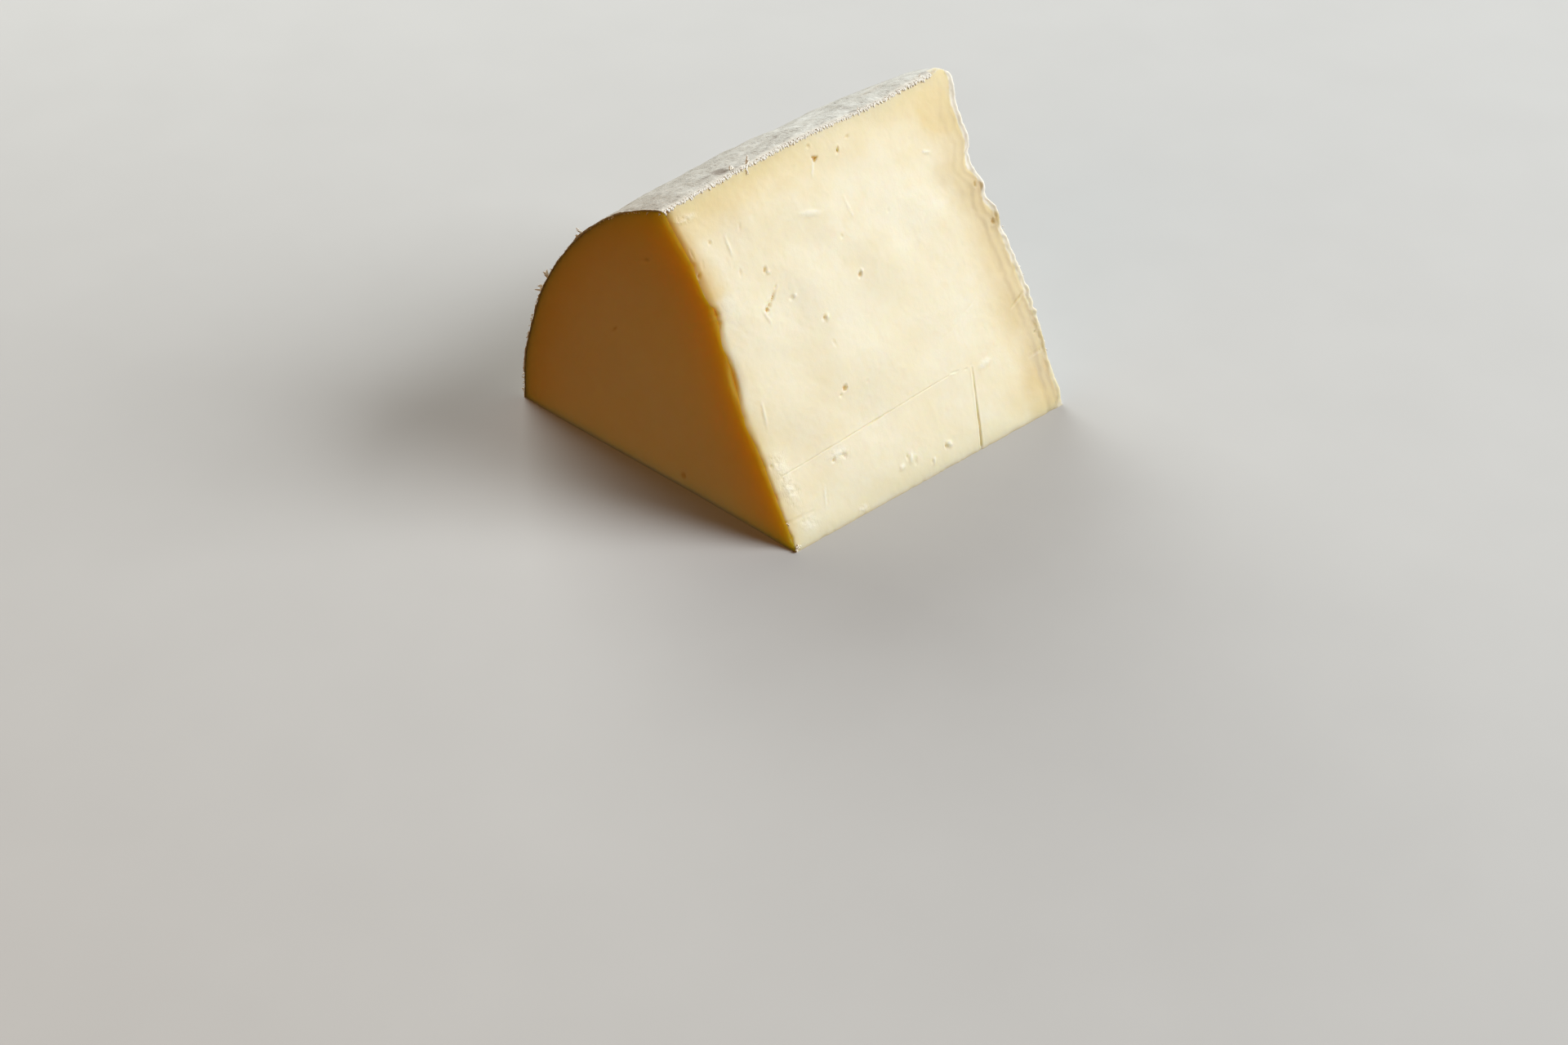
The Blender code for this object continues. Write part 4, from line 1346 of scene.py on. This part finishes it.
# Fuzz where the crust of the far end was broken.
fuzz_count = 36
fuzz_r = draw.uniform(14.0, 50.0, fuzz_count)
fuzz_x = rind_end_x(fuzz_r, WEDGE_ANGLE) - draw.uniform(0.0, 1.0, fuzz_count)
fuzz_starts = on_wedge(fuzz_x, fuzz_r, WEDGE_ANGLE)
fuzz_heads = FACE_NORMAL * 0.6 + AXIS + draw.uniform(-0.8, 0.8, (fuzz_count, 3))

starts = np.concatenate([ring_starts, fuzz_starts])
heads = np.concatenate([ring_heads, fuzz_heads])
bends = draw.uniform(-0.5, 0.5, (len(starts), 3))
lengths = draw.uniform(0.28, 0.58, len(starts))
radii = draw.uniform(0.10, 0.18, len(starts))
starts = starts - heads * 0.15
points, faces = thread_tubes(starts, heads, bends, lengths, radii)
points[:, 2] = np.maximum(points[:, 2], 0.02)
cut_fringe = mesh_piece("cut_fringe", points, faces, thread_material, 80)

# %% Frayed tufts
# Each tuft: x, angle in degrees, heads along x, outwards and off the cut, length, radius
# and strands. The first two are stubs of a torn hem, the rest are frayed threads.
TUFTS = (
    (-6.6, 24.4, -0.25, 1, 0.45, 2.7, 0.42, 3),
    (-6.8, 22, -0.5, 1, 0.15, 2, 0.44, 3),
    (-6.9, 24.9, -0.4, 1, 0.4, 1.8, 0.24, 4),
    (-7.1, 21.4, -0.7, 0.9, 0.05, 1.5, 0.24, 4),
    (-4.1, 37.4, -0.5, 0.9, 0.3, 1.6, 0.3, 4),
    (-4.6, 36.2, -0.6, 0.8, 0.1, 1.2, 0.24, 3),
    (22.6, 55.8, -0.5, 0.7, 0.6, 1.8, 0.27, 3),
    (23.4, 56.5, 0.2, -0.3, 0.7, 1.5, 0.25, 3),
    (26.2, 56.6, 0.1, 1, 0.5, 1.8, 0.27, 3),
    (25.3, 56.9, -0.2, -1, 0.12, 1.7, 0.12, 6),
    (62.4, 56.6, -0.2, 0.9, 0.4, 0.8, 0.18, 3),
    (84, 56.6, 0.5, 0.8, 0.3, 0.8, 0.16, 3),
)
tuft_rows = np.repeat(np.array(TUFTS), [int(row[-1]) for row in TUFTS], axis=0)
strands = len(tuft_rows)
tuft_phi = np.radians(tuft_rows[:, 1])
tuft_x = tuft_rows[:, 0] + draw.uniform(-0.35, 0.35, strands)
tuft_r = rind_radius(tuft_x, tuft_phi) - 0.3
outwards = np.stack([np.zeros(strands), np.cos(tuft_phi), np.sin(tuft_phi)], axis=-1)
starts = on_wedge(tuft_x, tuft_r, tuft_phi)
heads = outwards * tuft_rows[:, 3:4] + AXIS * tuft_rows[:, 2:3]
heads = heads + FACE_NORMAL * tuft_rows[:, 4:5] + draw.uniform(-0.15, 0.15, (strands, 3))
swing = np.where(np.arange(strands) % 2 == 0, 1.0, -1.0)[:, None] * AXIS
heads = heads + 0.30 * swing
bends = draw.uniform(-0.2, 0.2, (strands, 3)) - 0.40 * swing
lengths = tuft_rows[:, 5] * draw.uniform(0.75, 1.1, strands)
radii = tuft_rows[:, 6] * draw.uniform(0.8, 1.2, strands)
points, faces = thread_tubes(starts, heads, bends, lengths, radii, 9, 8)
frayed_threads = mesh_piece("frayed_threads", points, faces, thread_material, 80)

# %% [markdown]
# ## Crumbs
# A few crumbs of paste cling to the cut where it broke. A crumb is a small ball of
# rings and sides whose radius is jittered, and squashed against the face.

# %% Crumb balls
CRUMB_RINGS = 5
CRUMB_SIDES = 7


def crumb_balls(middles, radii, seed):
    """Points and faces of many jittered balls: two poles and rings of corners between."""
    count = len(middles)
    polar = np.linspace(0, math.pi, CRUMB_RINGS + 2)[1:-1]
    turn = np.linspace(0, 2 * math.pi, CRUMB_SIDES, endpoint=False)
    ring = np.stack(
        [
            np.sin(polar)[:, None] * np.cos(turn),
            np.sin(polar)[:, None] * np.sin(turn),
            np.cos(polar)[:, None] * np.ones(CRUMB_SIDES),
        ],
        axis=-1,
    ).reshape(-1, 3)
    unit = np.concatenate([[[0, 0, 1.0]], ring, [[0, 0, -1.0]]])
    jitter = np.random.default_rng(seed).uniform(0.55, 1.2, (count, len(unit), 1))
    squash = np.random.default_rng(seed + 1).uniform(0.5, 1.0, (count, 1, 3))
    points = middles[:, None] + unit * jitter * squash * radii[:, None, None]
    numbers = np.arange(CRUMB_RINGS * CRUMB_SIDES).reshape(CRUMB_RINGS, CRUMB_SIDES) + 1
    here, below = numbers[:-1], numbers[1:]
    quads = np.stack([here, below, np.roll(below, -1, 1), np.roll(here, -1, 1)], -1).reshape(-1, 4)
    last = len(unit) - 1
    top = np.stack([0 * numbers[0], numbers[0], np.roll(numbers[0], -1)], -1)
    bottom = np.stack([0 * numbers[-1] + last, np.roll(numbers[-1], -1), numbers[-1]], -1)
    steps = np.arange(count)[:, None, None] * len(unit)
    faces = (quads + steps).reshape(-1, 4).tolist()
    faces += (np.concatenate([top, bottom]) + steps).reshape(-1, 3).tolist()
    return points.reshape(-1, 3), faces


# %% Crumbs
CRUMB_CREAM = (0.92, 0.86, 0.68, 1.0)
CRUMB_WHITE = (0.95, 0.92, 0.80, 1.0)
# Groups of crumbs: middle (x, r), spread, count, and largest radius.
CRUMB_GROUPS = (
    ((0.5, 1.2), 0.7, 9, 0.62),
    ((0.4, 7.3), 0.4, 3, 0.36),
    ((53.2, 5.3), 0.4, 3, 0.42),
)

crumb_material, shader, place = new_material("crumb")
tone = ramp_of(noise_of(place, 0.9, 2.0), 0.3, 0.7)
looks = {"Base Color": blend_of(tone, CRUMB_CREAM, CRUMB_WHITE)}
fill(shader, looks | {"Normal": bump_of(noise_of(place, 0.2), 0.03), "Roughness": 0.6})

groups = np.array([(*middle, spread, size) for middle, spread, _, size in CRUMB_GROUPS])
groups = np.repeat(groups, [count for _, _, count, _ in CRUMB_GROUPS], axis=0)
crumb_x = groups[:, 0] + groups[:, 2] * draw.normal(0, 0.6, len(groups))
crumb_r = np.abs(groups[:, 1] + groups[:, 2] * draw.normal(0, 0.6, len(groups)))
crumb_x = np.maximum(crumb_x, cross_cut_x(crumb_r, WEDGE_ANGLE) + 0.1)
crumb_radius = groups[:, 3] * draw.uniform(0.55, 1.0, len(groups))
middles = on_wedge(crumb_x, crumb_r, WEDGE_ANGLE)
middles = middles + (crumb_radius * 0.05)[:, None] * FACE_NORMAL
middles[:, 2] = np.maximum(middles[:, 2], crumb_radius + 0.05)
points, faces = crumb_balls(middles, crumb_radius, 17)
face_crumbs = mesh_piece("face_crumbs", points, faces, crumb_material, 60)
